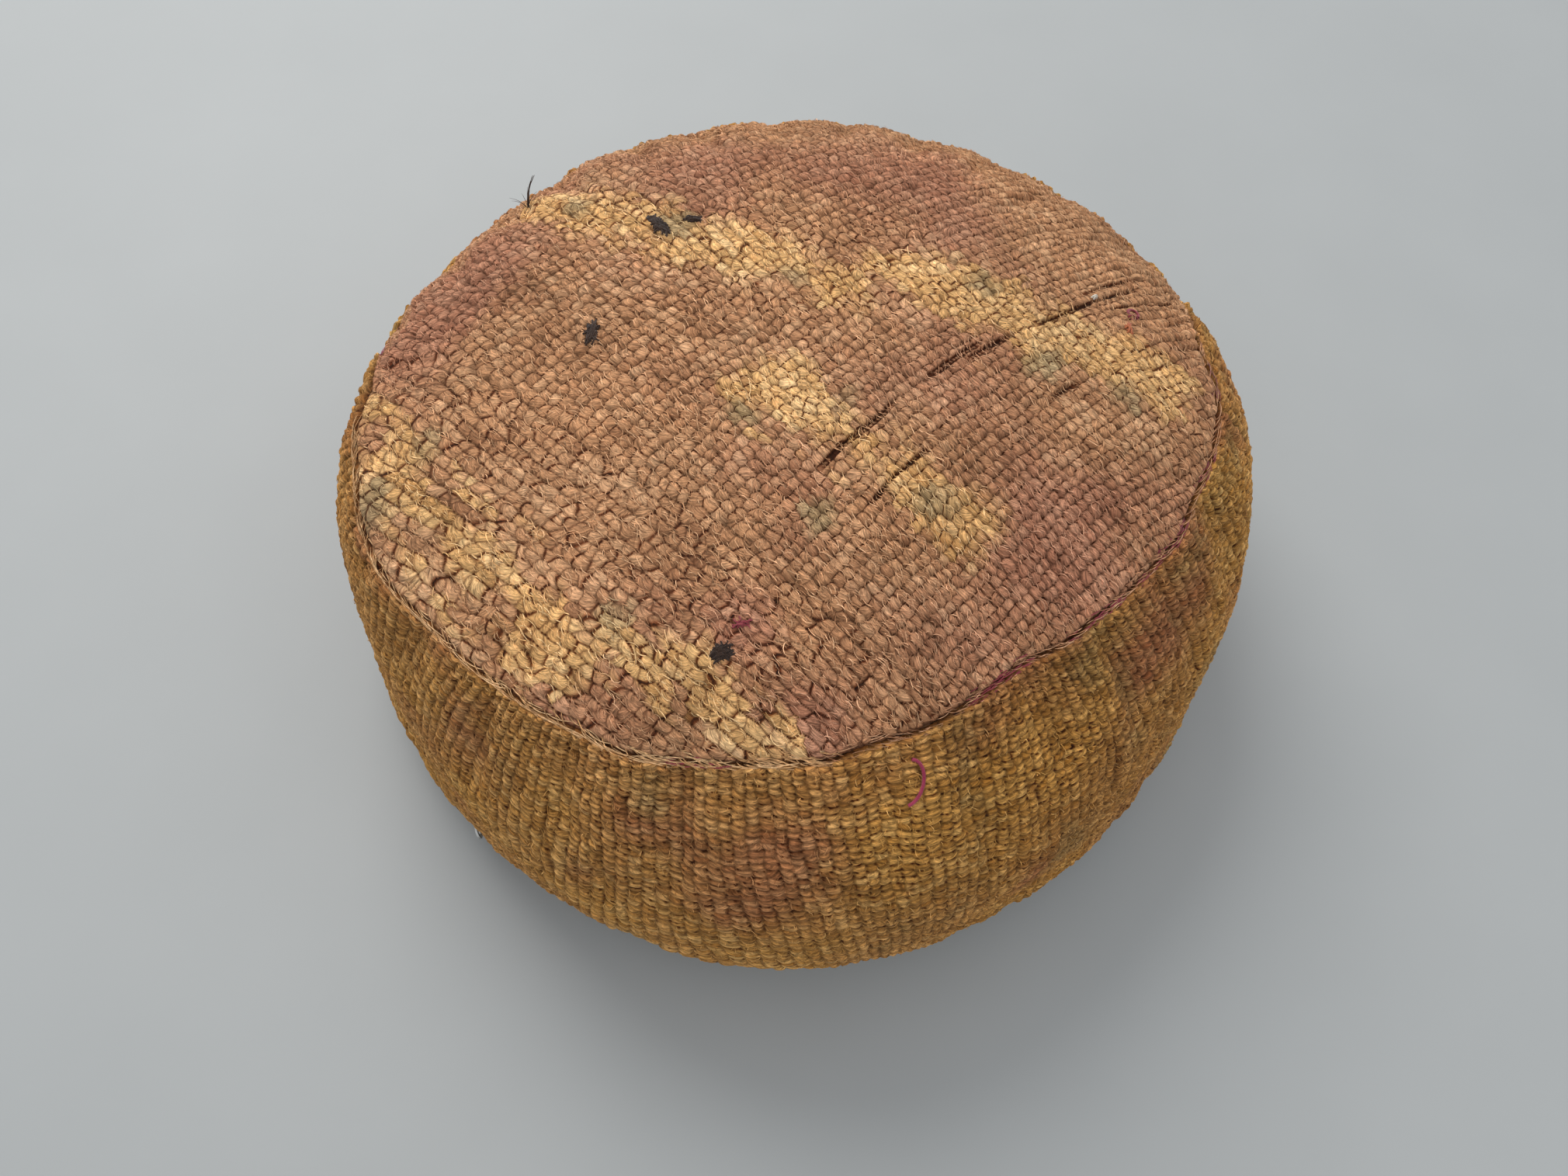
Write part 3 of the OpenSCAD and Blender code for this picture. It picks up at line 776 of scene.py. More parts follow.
# ---------------------------------------------------------------- threads, fibres and coils
def tubes(name, points, radius):
    """One mesh of many round strands: points is strands by points by 3, in mm."""
    sides = 6
    points = np.asarray(points, float)
    m, k, _ = points.shape
    radius = np.broadcast_to(np.asarray(radius, float), (m, k))
    along = np.gradient(points, axis=1)
    along /= np.maximum(np.linalg.norm(along, axis=2, keepdims=True), 1e-9)
    ref = np.zeros_like(along)
    ref[..., 2] = 1
    upright = np.abs(along[..., 2]) > 0.92
    ref[upright] = (1, 0, 0)
    side = np.cross(along, ref)
    side /= np.maximum(np.linalg.norm(side, axis=2, keepdims=True), 1e-9)
    over = np.cross(side, along)
    ang = np.arange(sides) * TAU / sides
    ring = side[:, :, None] * np.cos(ang)[:, None] + over[:, :, None] * np.sin(ang)[:, None]
    verts = points[:, :, None] + ring * radius[:, :, None, None]
    base = (np.arange(m) * k * sides)[:, None, None]
    kk, jj = np.meshgrid(np.arange(k - 1), np.arange(sides), indexing="ij")
    quad = np.stack([kk * sides + jj, kk * sides + (jj + 1) % sides,
                     (kk + 1) * sides + (jj + 1) % sides, (kk + 1) * sides + jj], -1)
    faces = (base[..., None] + quad[None]).reshape(-1, 4)
    return make_mesh(name, verts.reshape(-1, 3), faces)


def stitch_row(theta, r, z, length, gap, out, seed, keep=1.0):
    """Stitches along a level line round the cushion, each dipping in at its ends."""
    slack = 0.4
    along = np.concatenate([[0], np.cumsum(np.hypot(np.diff(theta) * (r[1:] + r[:-1]) / 2, np.diff(z)))])
    starts = np.arange(0, along[-1] - length, length + gap)
    n = np.arange(len(starts))
    starts = starts[hash01(n, n * 0, seed) < keep]
    n = np.arange(len(starts))
    t = np.linspace(0, 1, 7)
    at = starts[:, None] + length * t[None] * (1 + 0.2 * (hash01(n, n * 0 + 1, seed)[:, None] - 0.5))
    th = np.interp(at, along, theta)
    rr, zz = np.interp(at, along, r), np.interp(at, along, z)
    arc = np.sin(math.pi * t)[None] ** 0.6
    rr = rr + out * arc + slack * (hash01(n, n * 0 + 2, seed)[:, None] - 0.5)
    zz = zz + slack * (hash01(n, n * 0 + 3, seed)[:, None] - 0.5)
    return np.stack([rr * np.cos(th), rr * np.sin(th), zz], 2)


def top_height(x, y):
    """Height of the rug's surface at places on the top."""
    x, y = np.asarray(x, float), np.asarray(y, float)
    r, theta = np.hypot(x, y), np.arctan2(y, x)
    d = seam_radius(theta) - TOP_R
    d = np.where(np.abs(d) < 1e-3, 1e-3, d)
    a = TOP_R * np.clip((-TOP_R + np.sqrt(np.maximum(TOP_R ** 2 + 4 * d * r, 0))) / (2 * d), 0, 1)
    return section(theta, a)[1] + sample(top_move, theta, a / seam_arc(theta))[..., 2]


def strands_on(centre, size, count, length, spread, heading, seed, rise, curl):
    """A wisp of wool lying on the top: strands by points by 3."""
    n = np.arange(count)
    ux, uy = (0.6 * (hash01(n, n * 0 + k, seed) + hash01(n, n * 0 + k + 6, seed) - 1) for k in (0, 1))
    ch, sh = math.cos(heading), math.sin(heading)
    x0 = centre[0] + (ux * size[0] * 2) * ch - (uy * size[1] * 2) * sh
    y0 = centre[1] + (ux * size[0] * 2) * sh + (uy * size[1] * 2) * ch
    head = heading + spread * (hash01(n, n * 0 + 2, seed) - 0.5) * 2
    bend = curl * (hash01(n, n * 0 + 3, seed) - 0.5) * 2
    t = np.linspace(-0.5, 0.5, 7)
    long = length * (0.5 + hash01(n, n * 0 + 4, seed))
    ang = head[:, None] + bend[:, None] * t[None] * 2
    step = long[:, None] * t[None]
    x, y = x0[:, None] + step * np.cos(ang), y0[:, None] + step * np.sin(ang)
    up = 0.4 + rise * hash01(n, n * 0 + 5, seed)[:, None] * (1 - (2 * t[None]) ** 2)
    return np.stack([x, y, top_height(x, y) + up], 2)


def on_grid(grid, i, j, closed):
    """Points of a grid at fractional places."""
    rows, cols = grid.shape[:2]
    i = np.clip(i, 0, rows - 1.001)
    j = j % cols if closed else np.clip(j, 0, cols - 1.001)
    i0, j0 = np.floor(i).astype(int), np.floor(j).astype(int)
    fi, fj = (i - i0)[..., None], (j - j0)[..., None]
    j1 = (j0 + 1) % cols
    near = grid[i0, j0] * (1 - fj) + grid[i0, j1] * fj
    far = grid[i0 + 1, j0] * (1 - fj) + grid[i0 + 1, j1] * fj
    return near * (1 - fi) + far * fi


def ribbons(name, mid, out, width, dye, seed):
    """Flat fibres: mid is fibres by points by 3, in mm, and dye the four wool masks of each."""
    side = np.cross(np.gradient(mid, axis=1), out)
    side /= np.maximum(np.linalg.norm(side, axis=2, keepdims=True), 1e-6)
    m, k = mid.shape[:2]
    n = np.arange(m)
    t = np.linspace(-1, 1, k)[None, :, None]
    taper = (width * (0.6 + 0.7 * hash01(n, n * 0, seed)))[:, None, None] * (1 - 0.75 * np.abs(t) ** 3)
    verts = np.stack([mid - side * taper / 2, mid + side * taper / 2], 2)
    base = (n * k * 2)[:, None] + np.arange(k - 1)[None] * 2
    faces = np.stack([base, base + 1, base + 3, base + 2], -1).reshape(-1, 4)
    ob = make_mesh(name, verts.reshape(-1, 3), faces)
    paint(ob, "dye", np.repeat(dye, k * 2, axis=0).T)
    paint(ob, "knot", (1, 1, 1))
    run = np.cumsum(np.linalg.norm(np.diff(mid, axis=1, prepend=mid[:, :1]), axis=2), 1)
    run = np.repeat(run.ravel(), 2)
    paint_vector(ob, "fibre", (run, 0 * run, np.repeat(60 * hash01(n, n * 0 + 1, seed), k * 2)))
    return ob


def fuzz(name, surface, closed, at_i, at_j, length, heading, spread, lift, width, seed, east=None):
    """Fine loose fibres that lie on a grid of points, heading one way give or take the spread."""
    xyz, smooth_xyz, normal, dye = surface
    n = np.arange(len(at_i))
    roll = [hash01(n, n * 0 + k, seed + 5) for k in range(8)]
    along_i, along_j = np.gradient(smooth_xyz, axis=0), np.gradient(smooth_xyz, axis=1)
    if closed:
        along_j = (np.roll(smooth_xyz, -1, 1) - np.roll(smooth_xyz, 1, 1)) / 2
    di, dj = on_grid(along_i, at_i, at_j, closed), on_grid(along_j, at_i, at_j, closed)
    up = on_grid(normal, at_i, at_j, closed)
    east = di if east is None else east - up * (up @ np.array(east))[:, None]
    east = east / np.linalg.norm(east, axis=1, keepdims=True)
    north = np.cross(up, east)
    t = np.linspace(-0.5, 0.5, 5)[None]
    reach = (length * (0.5 + roll[2]))[:, None] * t
    turn = (heading + spread * (roll[0] + roll[1] - 1))[:, None] + (roll[3] - 0.5)[:, None] * 2.2 * t
    way = np.cos(turn)[..., None] * east[:, None] + np.sin(turn)[..., None] * north[:, None]
    g11, g12, g22 = ((a * b).sum(1)[:, None] for a, b in ((di, di), (di, dj), (dj, dj)))
    r1, r2 = ((way * d[:, None]).sum(2) for d in (di, dj))
    det = np.maximum(g11 * g22 - g12 * g12, 1e-4)
    pi = at_i[:, None] + (g22 * r1 - g12 * r2) / det * reach
    pj = at_j[:, None] + (g11 * r2 - g12 * r1) / det * reach
    arc = np.sin(math.pi * (t + 0.5)) ** 0.7
    loose = (roll[5][:, None] < 0.25) * (t + 0.5) * 0.8
    out = on_grid(normal, pi, pj, closed)
    rise = -0.3 + (lift * (0.4 + roll[4]))[:, None] * arc + loose
    mid = on_grid(xyz, pi, pj, closed) + out * rise[..., None]
    shade = dye[at_i.astype(int), at_j.astype(int) % dye.shape[1]].copy()
    shade[:, 3] = 0.3 + 0.65 * roll[7]
    return ribbons(name, mid, out, width, shade, seed)


def seam_wisps(name, angles, count, length, across, lift, width, dye, seed, spread=0.5):
    """Fibres that lie over the top seam between two angles: across is their turn off its line."""
    n = np.arange(count)
    roll = [hash01(n, n * 0 + k, seed) for k in range(7)]
    start, end = (math.radians(a) for a in angles)
    theta0 = (start + (end - start) * roll[0])[:, None]
    t = np.linspace(-0.5, 0.5, 8)[None]
    turn = math.pi / 2 - across + spread * (roll[1] + roll[2] - 1)[:, None]
    turn = turn + 0.9 * (roll[3][:, None] - 0.5) * t
    reach = (length * (0.5 + roll[4]))[:, None] * t
    arc0 = seam_arc(theta0) + (roll[5][:, None] - 0.62) * 9
    arc = arc0 + reach * np.cos(turn)
    theta = theta0 + reach * np.sin(turn) / TOP_R
    r, z = section(theta, arc)
    up = -0.2 + (lift * (0.3 + roll[6]))[:, None] * np.sin(math.pi * (0.5 + t))
    out = np.stack([0.6 * np.cos(theta), 0.6 * np.sin(theta), 0.8 + 0 * theta], 2)
    mid = np.stack([r * np.cos(theta), r * np.sin(theta), z], 2) + out * up[..., None]
    shade = np.column_stack([np.tile(dye, (count, 1)), 0.2 + 0.7 * roll[2]])
    return ribbons(name, mid, out, width, shade, seed)


# ---------------------------------------------------------------- node helpers
def make(tree, kind, ins=None, **props):
    """A shader node. Its inputs are plain values, or sockets of other nodes to link."""
    node = tree.nodes.new("ShaderNode" + kind)
    for key, value in props.items():
        setattr(node, key, value)
    for key, value in (ins or {}).items():
        if isinstance(value, bpy.types.NodeSocket):
            tree.links.new(value, node.inputs[key])
        else:
            node.inputs[key].default_value = value
    return node


def maths(tree, op, *values):
    return make(tree, "Math", dict(enumerate(values)), operation=op).outputs[0]


def mixed(tree, fac, a, b, blend="MIX"):
    return make(tree, "Mix", {0: fac, 6: a, 7: b}, data_type="RGBA", blend_type=blend).outputs[2]


def times(tree, a, b):
    return mixed(tree, 1.0, a, b, "MULTIPLY")


def cloud(tree, at, scale, detail, **more):
    return make(tree, "TexNoise", {"Vector": at, "Scale": scale, "Detail": detail, **more}).outputs["Fac"]


def bands(tree, at, way, scale, distortion, detail):
    return make(tree, "TexWave", {"Vector": at, "Scale": scale, "Distortion": distortion, "Detail": detail},
                wave_type="BANDS", bands_direction=way).outputs["Fac"]


def spread_to(tree, value, low, high, to_low, to_high):
    return make(tree, "MapRange", {0: value, 1: low, 2: high, 3: to_low, 4: to_high}).outputs[0]


def grey(tree, value):
    return make(tree, "CombineColor", {0: value, 1: value, 2: value}).outputs[0]


def linear(r, g, b):
    """An sRGB colour of 0 to 255, as the linear one that shaders use."""
    return tuple(c / 12.92 if c <= 0.04045 else ((c + 0.055) / 1.055) ** 2.4
                 for c in (r / 255, g / 255, b / 255)) + (1.0,)


def ramp(tree, fac, stops):
    """A colour ramp over (place, colour) stops."""
    node = make(tree, "ValToRGB", {0: fac})
    ends = node.color_ramp.elements
    ends[0].position, ends[0].color = stops[0]
    ends[1].position, ends[1].color = stops[-1]
    for at, colour in stops[1:-1]:
        ends.new(at).color = colour
    return node.outputs[0]


def new_material(name):
    """A node material: itself, its tree, its shader and the place of each shaded point."""
    mat = bpy.data.materials.new(name)
    mat.use_nodes = True
    tree = mat.node_tree
    tree.nodes.clear()
    shader = make(tree, "BsdfPrincipled")
    tree.links.new(shader.outputs[0], make(tree, "OutputMaterial").inputs[0])
    return mat, tree, shader, make(tree, "NewGeometry").outputs["Position"]


def dress(tree, shader, colour, looks, height=None, strength=0.5, distance=0.0002):
    """Gives the shader its colour, its plain values and its fine relief."""
    tree.links.new(colour, shader.inputs["Base Color"])
    for name, value in looks.items():
        shader.inputs[name].default_value = value
    if height:
        bump = make(tree, "Bump", {"Strength": strength, "Distance": distance, "Height": height})
        tree.links.new(bump.outputs[0], shader.inputs["Normal"])


# ---------------------------------------------------------------- materials
def wool_material(name, plain, gold, olive, rose, dark):
    """Dyed wool knots: each knot has its own tone and fine fibres. Painted shade darkens the crevices round
    each knot, the low part of each knot and the rug's edge into the seam, with a slight painted highlight on
    each knot's top. On the band the tone also carries painted shade at the right front.
    """
    mat, tree, shader, place = new_material(name)
    dye, knot, fibre = (make(tree, "Attribute", attribute_name=n) for n in ("dye", "knot", "fibre"))
    masks = make(tree, "SeparateColor", {0: dye.outputs["Color"]})
    # The knot attribute holds painted shade and painted highlight.
    painted_shade = make(tree, "SeparateColor", {0: knot.outputs["Color"]})

    def fibres(stretch, detail, rough, distortion):
        """Noise that is long along the fibres and fine across them."""
        at = make(tree, "VectorMath", {0: fibre.outputs["Vector"], 1: stretch}, operation="MULTIPLY")
        return cloud(tree, at.outputs[0], 1.0, detail, Roughness=rough, Distortion=distortion)

    strands = fibres((0.2, 1.15, 1.0), 3.0, 0.6, 0.35)
    hairs = fibres((0.4, 3.0, 1.0), 2.0, 0.65, 0.5)
    # The tone is each knot's own, and on the band it also carries painted shade at the right front.
    tone = dye.outputs["Alpha"]
    base = ramp(tree, tone, plain)
    base = mixed(tree, masks.outputs[2], base, ramp(tree, tone, rose))
    base = mixed(tree, masks.outputs[0], base, ramp(tree, tone, gold))
    base = mixed(tree, masks.outputs[1], base, ramp(tree, tone, olive))
    light = spread_to(tree, strands, 0.32, 0.68, 0.42, 1.6)
    for value, low, high in ((hairs, 0.72, 1.28), (cloud(tree, place, 14.0, 4.0), 0.9, 1.1),
                             (cloud(tree, place, 520.0, 2.0), 0.88, 1.12)):
        light = maths(tree, "MULTIPLY", light, spread_to(tree, value, 0.3, 0.7, low, high))
    lit = times(tree, base, grey(tree, light))
    # Painted shade in the crevices between knots, in the colours given as dark.
    crevice_shade = ramp(tree, painted_shade.outputs[0], [(0.0, dark[0]), (0.5, dark[1]), (1.0, (1, 1, 1, 1))])
    lit = times(tree, lit, crevice_shade)
    # Painted shade low on each knot and a slight painted highlight on its top.
    lit = times(tree, lit, grey(tree, spread_to(tree, painted_shade.outputs[1], 0.0, 1.0, 0.78, 1.06)))
    # Painted shade where the rug turns down into the seam.
    lit = times(tree, lit, mixed(tree, painted_shade.outputs[2], (0.46, 0.31, 0.23, 1), (1, 1, 1, 1)))
    relief = maths(tree, "ADD", maths(tree, "MULTIPLY", strands, 0.7), maths(tree, "MULTIPLY", hairs, 0.4))
    dress(tree, shader, lit, {"Roughness": 0.88, "Specular IOR Level": 0.18, "Sheen Weight": 0.12,
                              "Sheen Roughness": 0.45, "Sheen Tint": linear(225, 190, 150)},
          relief, 0.8, 0.0013)
    return mat


def cloth_material(name, colour, other, scale, rough=0.85):
    """Plain-woven cloth: threads over and under, faded in patches."""
    mat, tree, shader, place = new_material(name)
    weave = maths(tree, "MULTIPLY", *(bands(tree, place, way, scale, 1.2, 2.0) for way in "XY"))
    slub = cloud(tree, place, 420.0, 2.0)
    light = maths(tree, "ADD", 0.72, maths(tree, "MULTIPLY", weave, 0.4))
    light = maths(tree, "MULTIPLY", light, spread_to(tree, slub, 0.3, 0.7, 0.85, 1.12))
    lit = times(tree, mixed(tree, cloud(tree, place, 18.0, 5.0), colour, other), grey(tree, light))
    dress(tree, shader, lit, {"Roughness": rough, "Specular IOR Level": 0.2, "Sheen Weight": 0.15},
          maths(tree, "ADD", weave, maths(tree, "MULTIPLY", slub, 0.5)), 0.6, 0.0004)
    return mat


def thread_material(name, *colours, pitch=900.0, rough=0.6):
    """Twisted thread: plies wind round it, each stretch a little lighter or darker."""
    mat, tree, shader, place = new_material(name)
    ply = bands(tree, place, "DIAGONAL", pitch, 2.0, 1.0)
    mix = maths(tree, "ADD", maths(tree, "MULTIPLY", ply, 0.45),
                maths(tree, "MULTIPLY", cloud(tree, place, 160.0, 3.0), 0.6))
    places = (0.1, 0.6, 1.0) if len(colours) == 3 else (0.1, 1.0)
    stops = [(at, linear(*colour)) for at, colour in zip(places, colours)]
    dress(tree, shader, ramp(tree, mix, stops),
          {"Roughness": rough, "Specular IOR Level": 0.3, "Sheen Weight": 0.3}, ply)
    return mat


def tape_material():
    """Black twill tape with fine ribs across it, greyed in patches of lint."""
    mat, tree, shader, place = new_material("zip_twill")
    ribs = bands(tree, place, "DIAGONAL", 260.0, 0.6, 1.0)
    lint = maths(tree, "MULTIPLY", cloud(tree, place, 260.0, 4.0), 0.6)
    light = maths(tree, "ADD", maths(tree, "MULTIPLY", ribs, 0.5), lint)
    colour = ramp(tree, light, [(0.2, linear(14, 14, 15)), (0.75, linear(36, 36, 38)),
                                (1.0, linear(78, 76, 74))])
    dress(tree, shader, colour, {"Roughness": 0.82, "Sheen Weight": 0.2}, ribs, 0.7)
    return mat


def nylon_material():
    """Dark moulded nylon with a soft gloss and rubbed patches."""
    mat, tree, shader, place = new_material("zip_nylon")
    rub = cloud(tree, place, 210.0, 4.0)
    dress(tree, shader, ramp(tree, rub, [(0.3, linear(18, 18, 20)), (0.7, linear(40, 40, 43)),
                                         (1.0, linear(90, 90, 92))]), {})
    tree.links.new(spread_to(tree, rub, 0.3, 0.7, 0.3, 0.55), shader.inputs["Roughness"])
    return mat


def nickel_material():
    """Nickel plating: bright, with fine scuffs and a warmer tone where it has worn."""
    mat, tree, shader, place = new_material("zip_nickel")
    worn, scuff = cloud(tree, place, 190.0, 5.0), cloud(tree, place, 1500.0, 3.0)
    colour = ramp(tree, worn, [(0.35, linear(214, 214, 212)), (0.62, linear(196, 194, 188)),
                               (0.8, linear(168, 152, 124))])
    dress(tree, shader, colour, {"Metallic": 1.0}, scuff, 0.25, 0.0001)
    rough = spread_to(tree, worn, 0.3, 0.75, 0.16, 0.4)
    rough = maths(tree, "ADD", rough, maths(tree, "MULTIPLY", scuff, 0.08))
    tree.links.new(rough, shader.inputs["Roughness"])
    return mat


def tones(*colours):
    """Stops of a ramp that go from a dark knot through a middling one to a light one."""
    return [(at, linear(*colour)) for at, colour in zip((0.0, 0.5, 1.0), colours)]


top_mat = wool_material(
    "top_wool",
    plain=tones((140, 94, 64), (186, 136, 97), (222, 176, 134)),
    gold=tones((182, 132, 78), (218, 170, 112), (244, 206, 152)),
    olive=tones((136, 112, 78), (164, 138, 100), (190, 166, 126)),
    rose=tones((146, 94, 70), (176, 122, 94), (200, 150, 120)),
    # dark: colours of the painted shade in the crevices between knots.
    dark=(linear(30, 14, 8), linear(140, 102, 78)))
band_mat = wool_material(
    "band_wool",
    plain=tones((148, 100, 48), (184, 132, 72), (214, 164, 102)),
    gold=tones((160, 108, 44), (194, 142, 72), (222, 174, 104)),
    olive=tones((130, 100, 56), (156, 126, 78), (182, 152, 102)),
    rose=tones((140, 84, 50), (166, 110, 70), (190, 136, 92)),
    # dark: colours of the painted shade in the crevices between knots.
    dark=(linear(34, 16, 6), linear(140, 98, 60)))
base_mat = cloth_material("base_weave", linear(168, 132, 92), linear(140, 108, 72), 95.0)
bag_mat = cloth_material("bag_cotton", linear(226, 218, 198), linear(206, 196, 172), 160.0)
fill_mat = cloth_material("loose_filling", linear(214, 204, 184), linear(180, 168, 146), 60.0, 0.95)
brown_thread = thread_material("seam_thread_brown", (84, 52, 26), (128, 86, 48), (160, 116, 72))
white_thread = thread_material("bag_thread_white", (190, 182, 164), (236, 230, 214))
red_wool = thread_material("red_wool_strands", (96, 22, 34), (150, 48, 60), (186, 96, 96))
black_wool = thread_material("black_wool_strands", (22, 13, 8), (50, 31, 20), (92, 62, 42),
                             pitch=700.0, rough=0.95)
pale_wool = thread_material("pale_wool_strands", (200, 190, 172), (244, 238, 226))
orange_wool = thread_material("orange_wool_strands", (150, 66, 36), (212, 128, 74))
magenta_wool = thread_material("magenta_wool_strands", (120, 18, 52), (164, 36, 74), (196, 92, 116))
twill, nylon, nickel = tape_material(), nylon_material(), nickel_material()


# ---------------------------------------------------------------- the cushion's own pieces
FIRM = 0.7    # how full the cushion is, from 0 to 1


def place_piece(ob, mat, slot, *nodes, fill=None):
    """Gives a piece its material and its body, and hides the CAD nodes that it replaces. Its slot is not
    used.
    """
    ob.data.materials.append(mat)
    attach(ob, "root")
    if nodes:
        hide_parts(*nodes)


top_rug, top_surface = build_top()
place_piece(top_rug, top_mat, "top_rug", "top_panel", fill=FIRM)
band_rug, band_surface = build_band()
place_piece(band_rug, band_mat, "band_rug", "side_band", fill=FIRM)
place_piece(build_base(), base_mat, "base_cloth", "bottom_panel", fill=FIRM)

FLOOR_ROWS, SIDE_ROWS = 30, 70    # rows of the bag's profile up to its floor's edge and to its shoulder
LAST_ROW = len(inner_profile(0))
place_piece(build_inner("bag_bottom_panel", 0.0, 0, FLOOR_ROWS, 0.5, 401),
            bag_mat, "bag_cloth", "bag_bottom")
place_piece(build_inner("bag_side_panel", 0.0, FLOOR_ROWS - 1, SIDE_ROWS, 1.1, 411),
            bag_mat, "bag_cloth", "bag_side")
place_piece(build_inner("bag_top_panel", 0.0, SIDE_ROWS - 1, LAST_ROW, 1.1, 421),
            bag_mat, "bag_cloth", "bag_top")
place_piece(build_inner("stuffing", 2.4, 0, LAST_ROW, 1.0, 431), fill_mat, "filling", "filling", fill=FIRM)

# ---------------------------------------------------------------- stitching
full = np.linspace(0, TAU, 721)
seam_r, seam_z = section(full, seam_arc(full))
seam = stitch_row(full, seam_r - 2.6, seam_z - 3.4, 5.2, 2.6, 0.6, 601, 0.9)
seam[:, :, 2] += 0.6 * np.sin(np.linspace(0, math.pi, seam.shape[1]))
place_piece(tubes("top_seam_stitches", seam, 0.6), brown_thread, "sewing_thread", "top_seam_thread")
shoulder_r, shoulder_z = inner_profile(0)[SIDE_ROWS - 2]
row = stitch_row(full, settled(full, shoulder_r, shoulder_z) + 0.9, np.full_like(full, shoulder_z + 0.4),
                 3.2, 0.9, 0.3, 611)
place_piece(tubes("bag_top_stitches", row, 0.3), white_thread, "bag_thread", "bag_top_stitching")
row = stitch_row(full, np.full_like(full, BAG_FOOT_R + 1), np.full_like(full, BAG_FOOT_Z),
                 3.2, 0.9, 0.3, 621)
place_piece(tubes("bag_bottom_stitches", row, 0.3), white_thread, "bag_thread", "bag_bottom_stitching")
JOIN_AT, JOIN_STITCHES, JOIN_POINTS = math.radians(100), 22, 4
join_th = np.full(90, JOIN_AT)
join_r, join_z = band_point(join_th, np.linspace(0.08, 0.92, len(join_th)))
join = np.stack([(join_r - 8) * np.cos(join_th), (join_r - 8) * np.sin(join_th), join_z], 1)
join = join[:JOIN_STITCHES * JOIN_POINTS].reshape(JOIN_STITCHES, JOIN_POINTS, 3)
place_piece(tubes("band_join_stitches", join, 0.4), brown_thread, "sewing_thread", "band_join_thread")
past_zip = math.radians(4)
closed_turns = np.linspace(ZIP_TO + past_zip, ZIP_FROM + TAU - past_zip, 600)
row = stitch_row(closed_turns, np.full_like(closed_turns, BASE_R + 0.4), np.full_like(closed_turns, BASE_Z),
                 5.0, 1.6, 0.7, 921, 0.97)
place_piece(tubes("base_seam_stitches", row, 0.5), brown_thread, "sewing_thread", "base_seam_thread")

# ---------------------------------------------------------------- loose fibres
TOP_FIBRES, BAND_FIBRES = 15000, 11000
COMBED = math.radians(-48)
n = np.arange(TOP_FIBRES)
grid_i, grid_j = (6 + hash01(n, n * 0 + k, 701) * (TOP_GRID - 12) for k in (0, 1))
place_piece(fuzz("top_fibres", top_surface, False, grid_i, grid_j, 6.5, COMBED + math.pi, 0.8, 0.75,
                 0.42, 711, east=(1.0, 0, 0)), top_mat, "top_rug")
n = np.arange(BAND_FIBRES)
rows, cols = band_surface[0].shape[:2]
grid_i, grid_j = 4 + hash01(n, n * 0, 721) * (rows - 10), hash01(n, n * 0 + 1, 721) * cols
place_piece(fuzz("band_fibres", band_surface, True, grid_i, grid_j, 4.6, 0.25, 0.9, 0.55, 0.36, 731),
            band_mat, "band_rug")
place_piece(seam_wisps("seam_fibres_left", (-172, -84), 460, 12.0, 0.22, 0.9, 0.5, (0.5, 0.1, 0.2), 741),
            top_mat, "top_rug")
place_piece(seam_wisps("seam_fibres_right", (-84, 14), 300, 8.0, 0.25, 0.8, 0.42, (0.1, 0.0, 0.6), 751),
            top_mat, "top_rug")
RED_SPANS = ((-104, -96), (-63, -50), (-45, -34), (-32, -19), (-14, -6), (2, 8), (168, 178))
for count, (start, end) in enumerate(RED_SPANS):
    wisps = seam_wisps("red_wisps_%d" % count, (start, end), 3 * (end - start), 7.0, 0.0, 0.8, 0.6,
                       (0, 0, 1), 761 + count, 0.3)
    place_piece(wisps, red_wool, "sewing_thread")


# ---------------------------------------------------------------- tufts and loose yarn
def tuft(centre, size, count, length, heading, seed):
    """A tuft of wool standing a little proud of the top: a dense heart and stray ends."""
    heart = strands_on(centre, size, count, length, 0.3, heading, seed, 1.6, 0.7)
    stray = strands_on(centre, size, count // 7, length * 0.9, 0.9, heading, seed + 9, 1.0, 1.4)
    return np.concatenate([heart, stray])


# (place, half length and width, strands, their length, heading in degrees, seed)
BLACK_TUFTS = (((-81, 89), (6.0, 1.9), 110, 6.5, -50, 801), ((-62, 93), (2.9, 1.3), 42, 4.5, -10, 811),
               ((-109, 12), (5.0, 2.1), 100, 5.5, 86, 821), ((-30, -164), (4.0, 2.9), 120, 4.4, 35, 831))
black = [tuft(at, size, count, length, math.radians(turn), seed)
         for at, size, count, length, turn, seed in BLACK_TUFTS]
place_piece(tubes("black_tufts", np.concatenate(black), 0.5), black_wool, "black_wool", "black_wool_tufts")
pale_at = (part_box("pale_wool_tuft")[0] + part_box("pale_wool_tuft")[1]) / 2 / MM
place_piece(tubes("pale_tuft", tuft(pale_at, (0.9, 0.8), 16, 2.6, 0.6, 841), 0.42),
            pale_wool, "pale_wool", "pale_wool_tuft")


def maroon_hook():
    """Five strands of maroon wool that lie bent like a hook, over a small tuft."""
    turn = np.linspace(-0.6, 3.6, 7)
    strands = []
    for k in range(5):
        x = 179 - 3.2 * np.cos(turn) + 0.5 * math.cos(k * 1.3)
        y = 49 + 3.2 * np.sin(turn) + 0.5 * math.sin(k * 1.3)
        strands.append(np.stack([x, y, top_height(x, y) + 0.9 + 0.2 * k], 1))
    return np.concatenate([np.array(strands), tuft((179, 47), (2.2, 1.4), 10, 4, 0.4, 851)])


place_piece(tubes("maroon_tuft", maroon_hook(), 0.45), red_wool, "red_wool", "red_wool_tufts")
place_piece(tubes("rosy_tuft", tuft((-21, -149), (2.4, 1.0), 18, 4.5, 0.2, 871), 0.4), red_wool, "red_wool")
place_piece(tubes("orange_tuft", tuft((175, 37), (3.2, 1.0), 14, 5, 1.5, 861), 0.42),
            orange_wool, "red_wool")


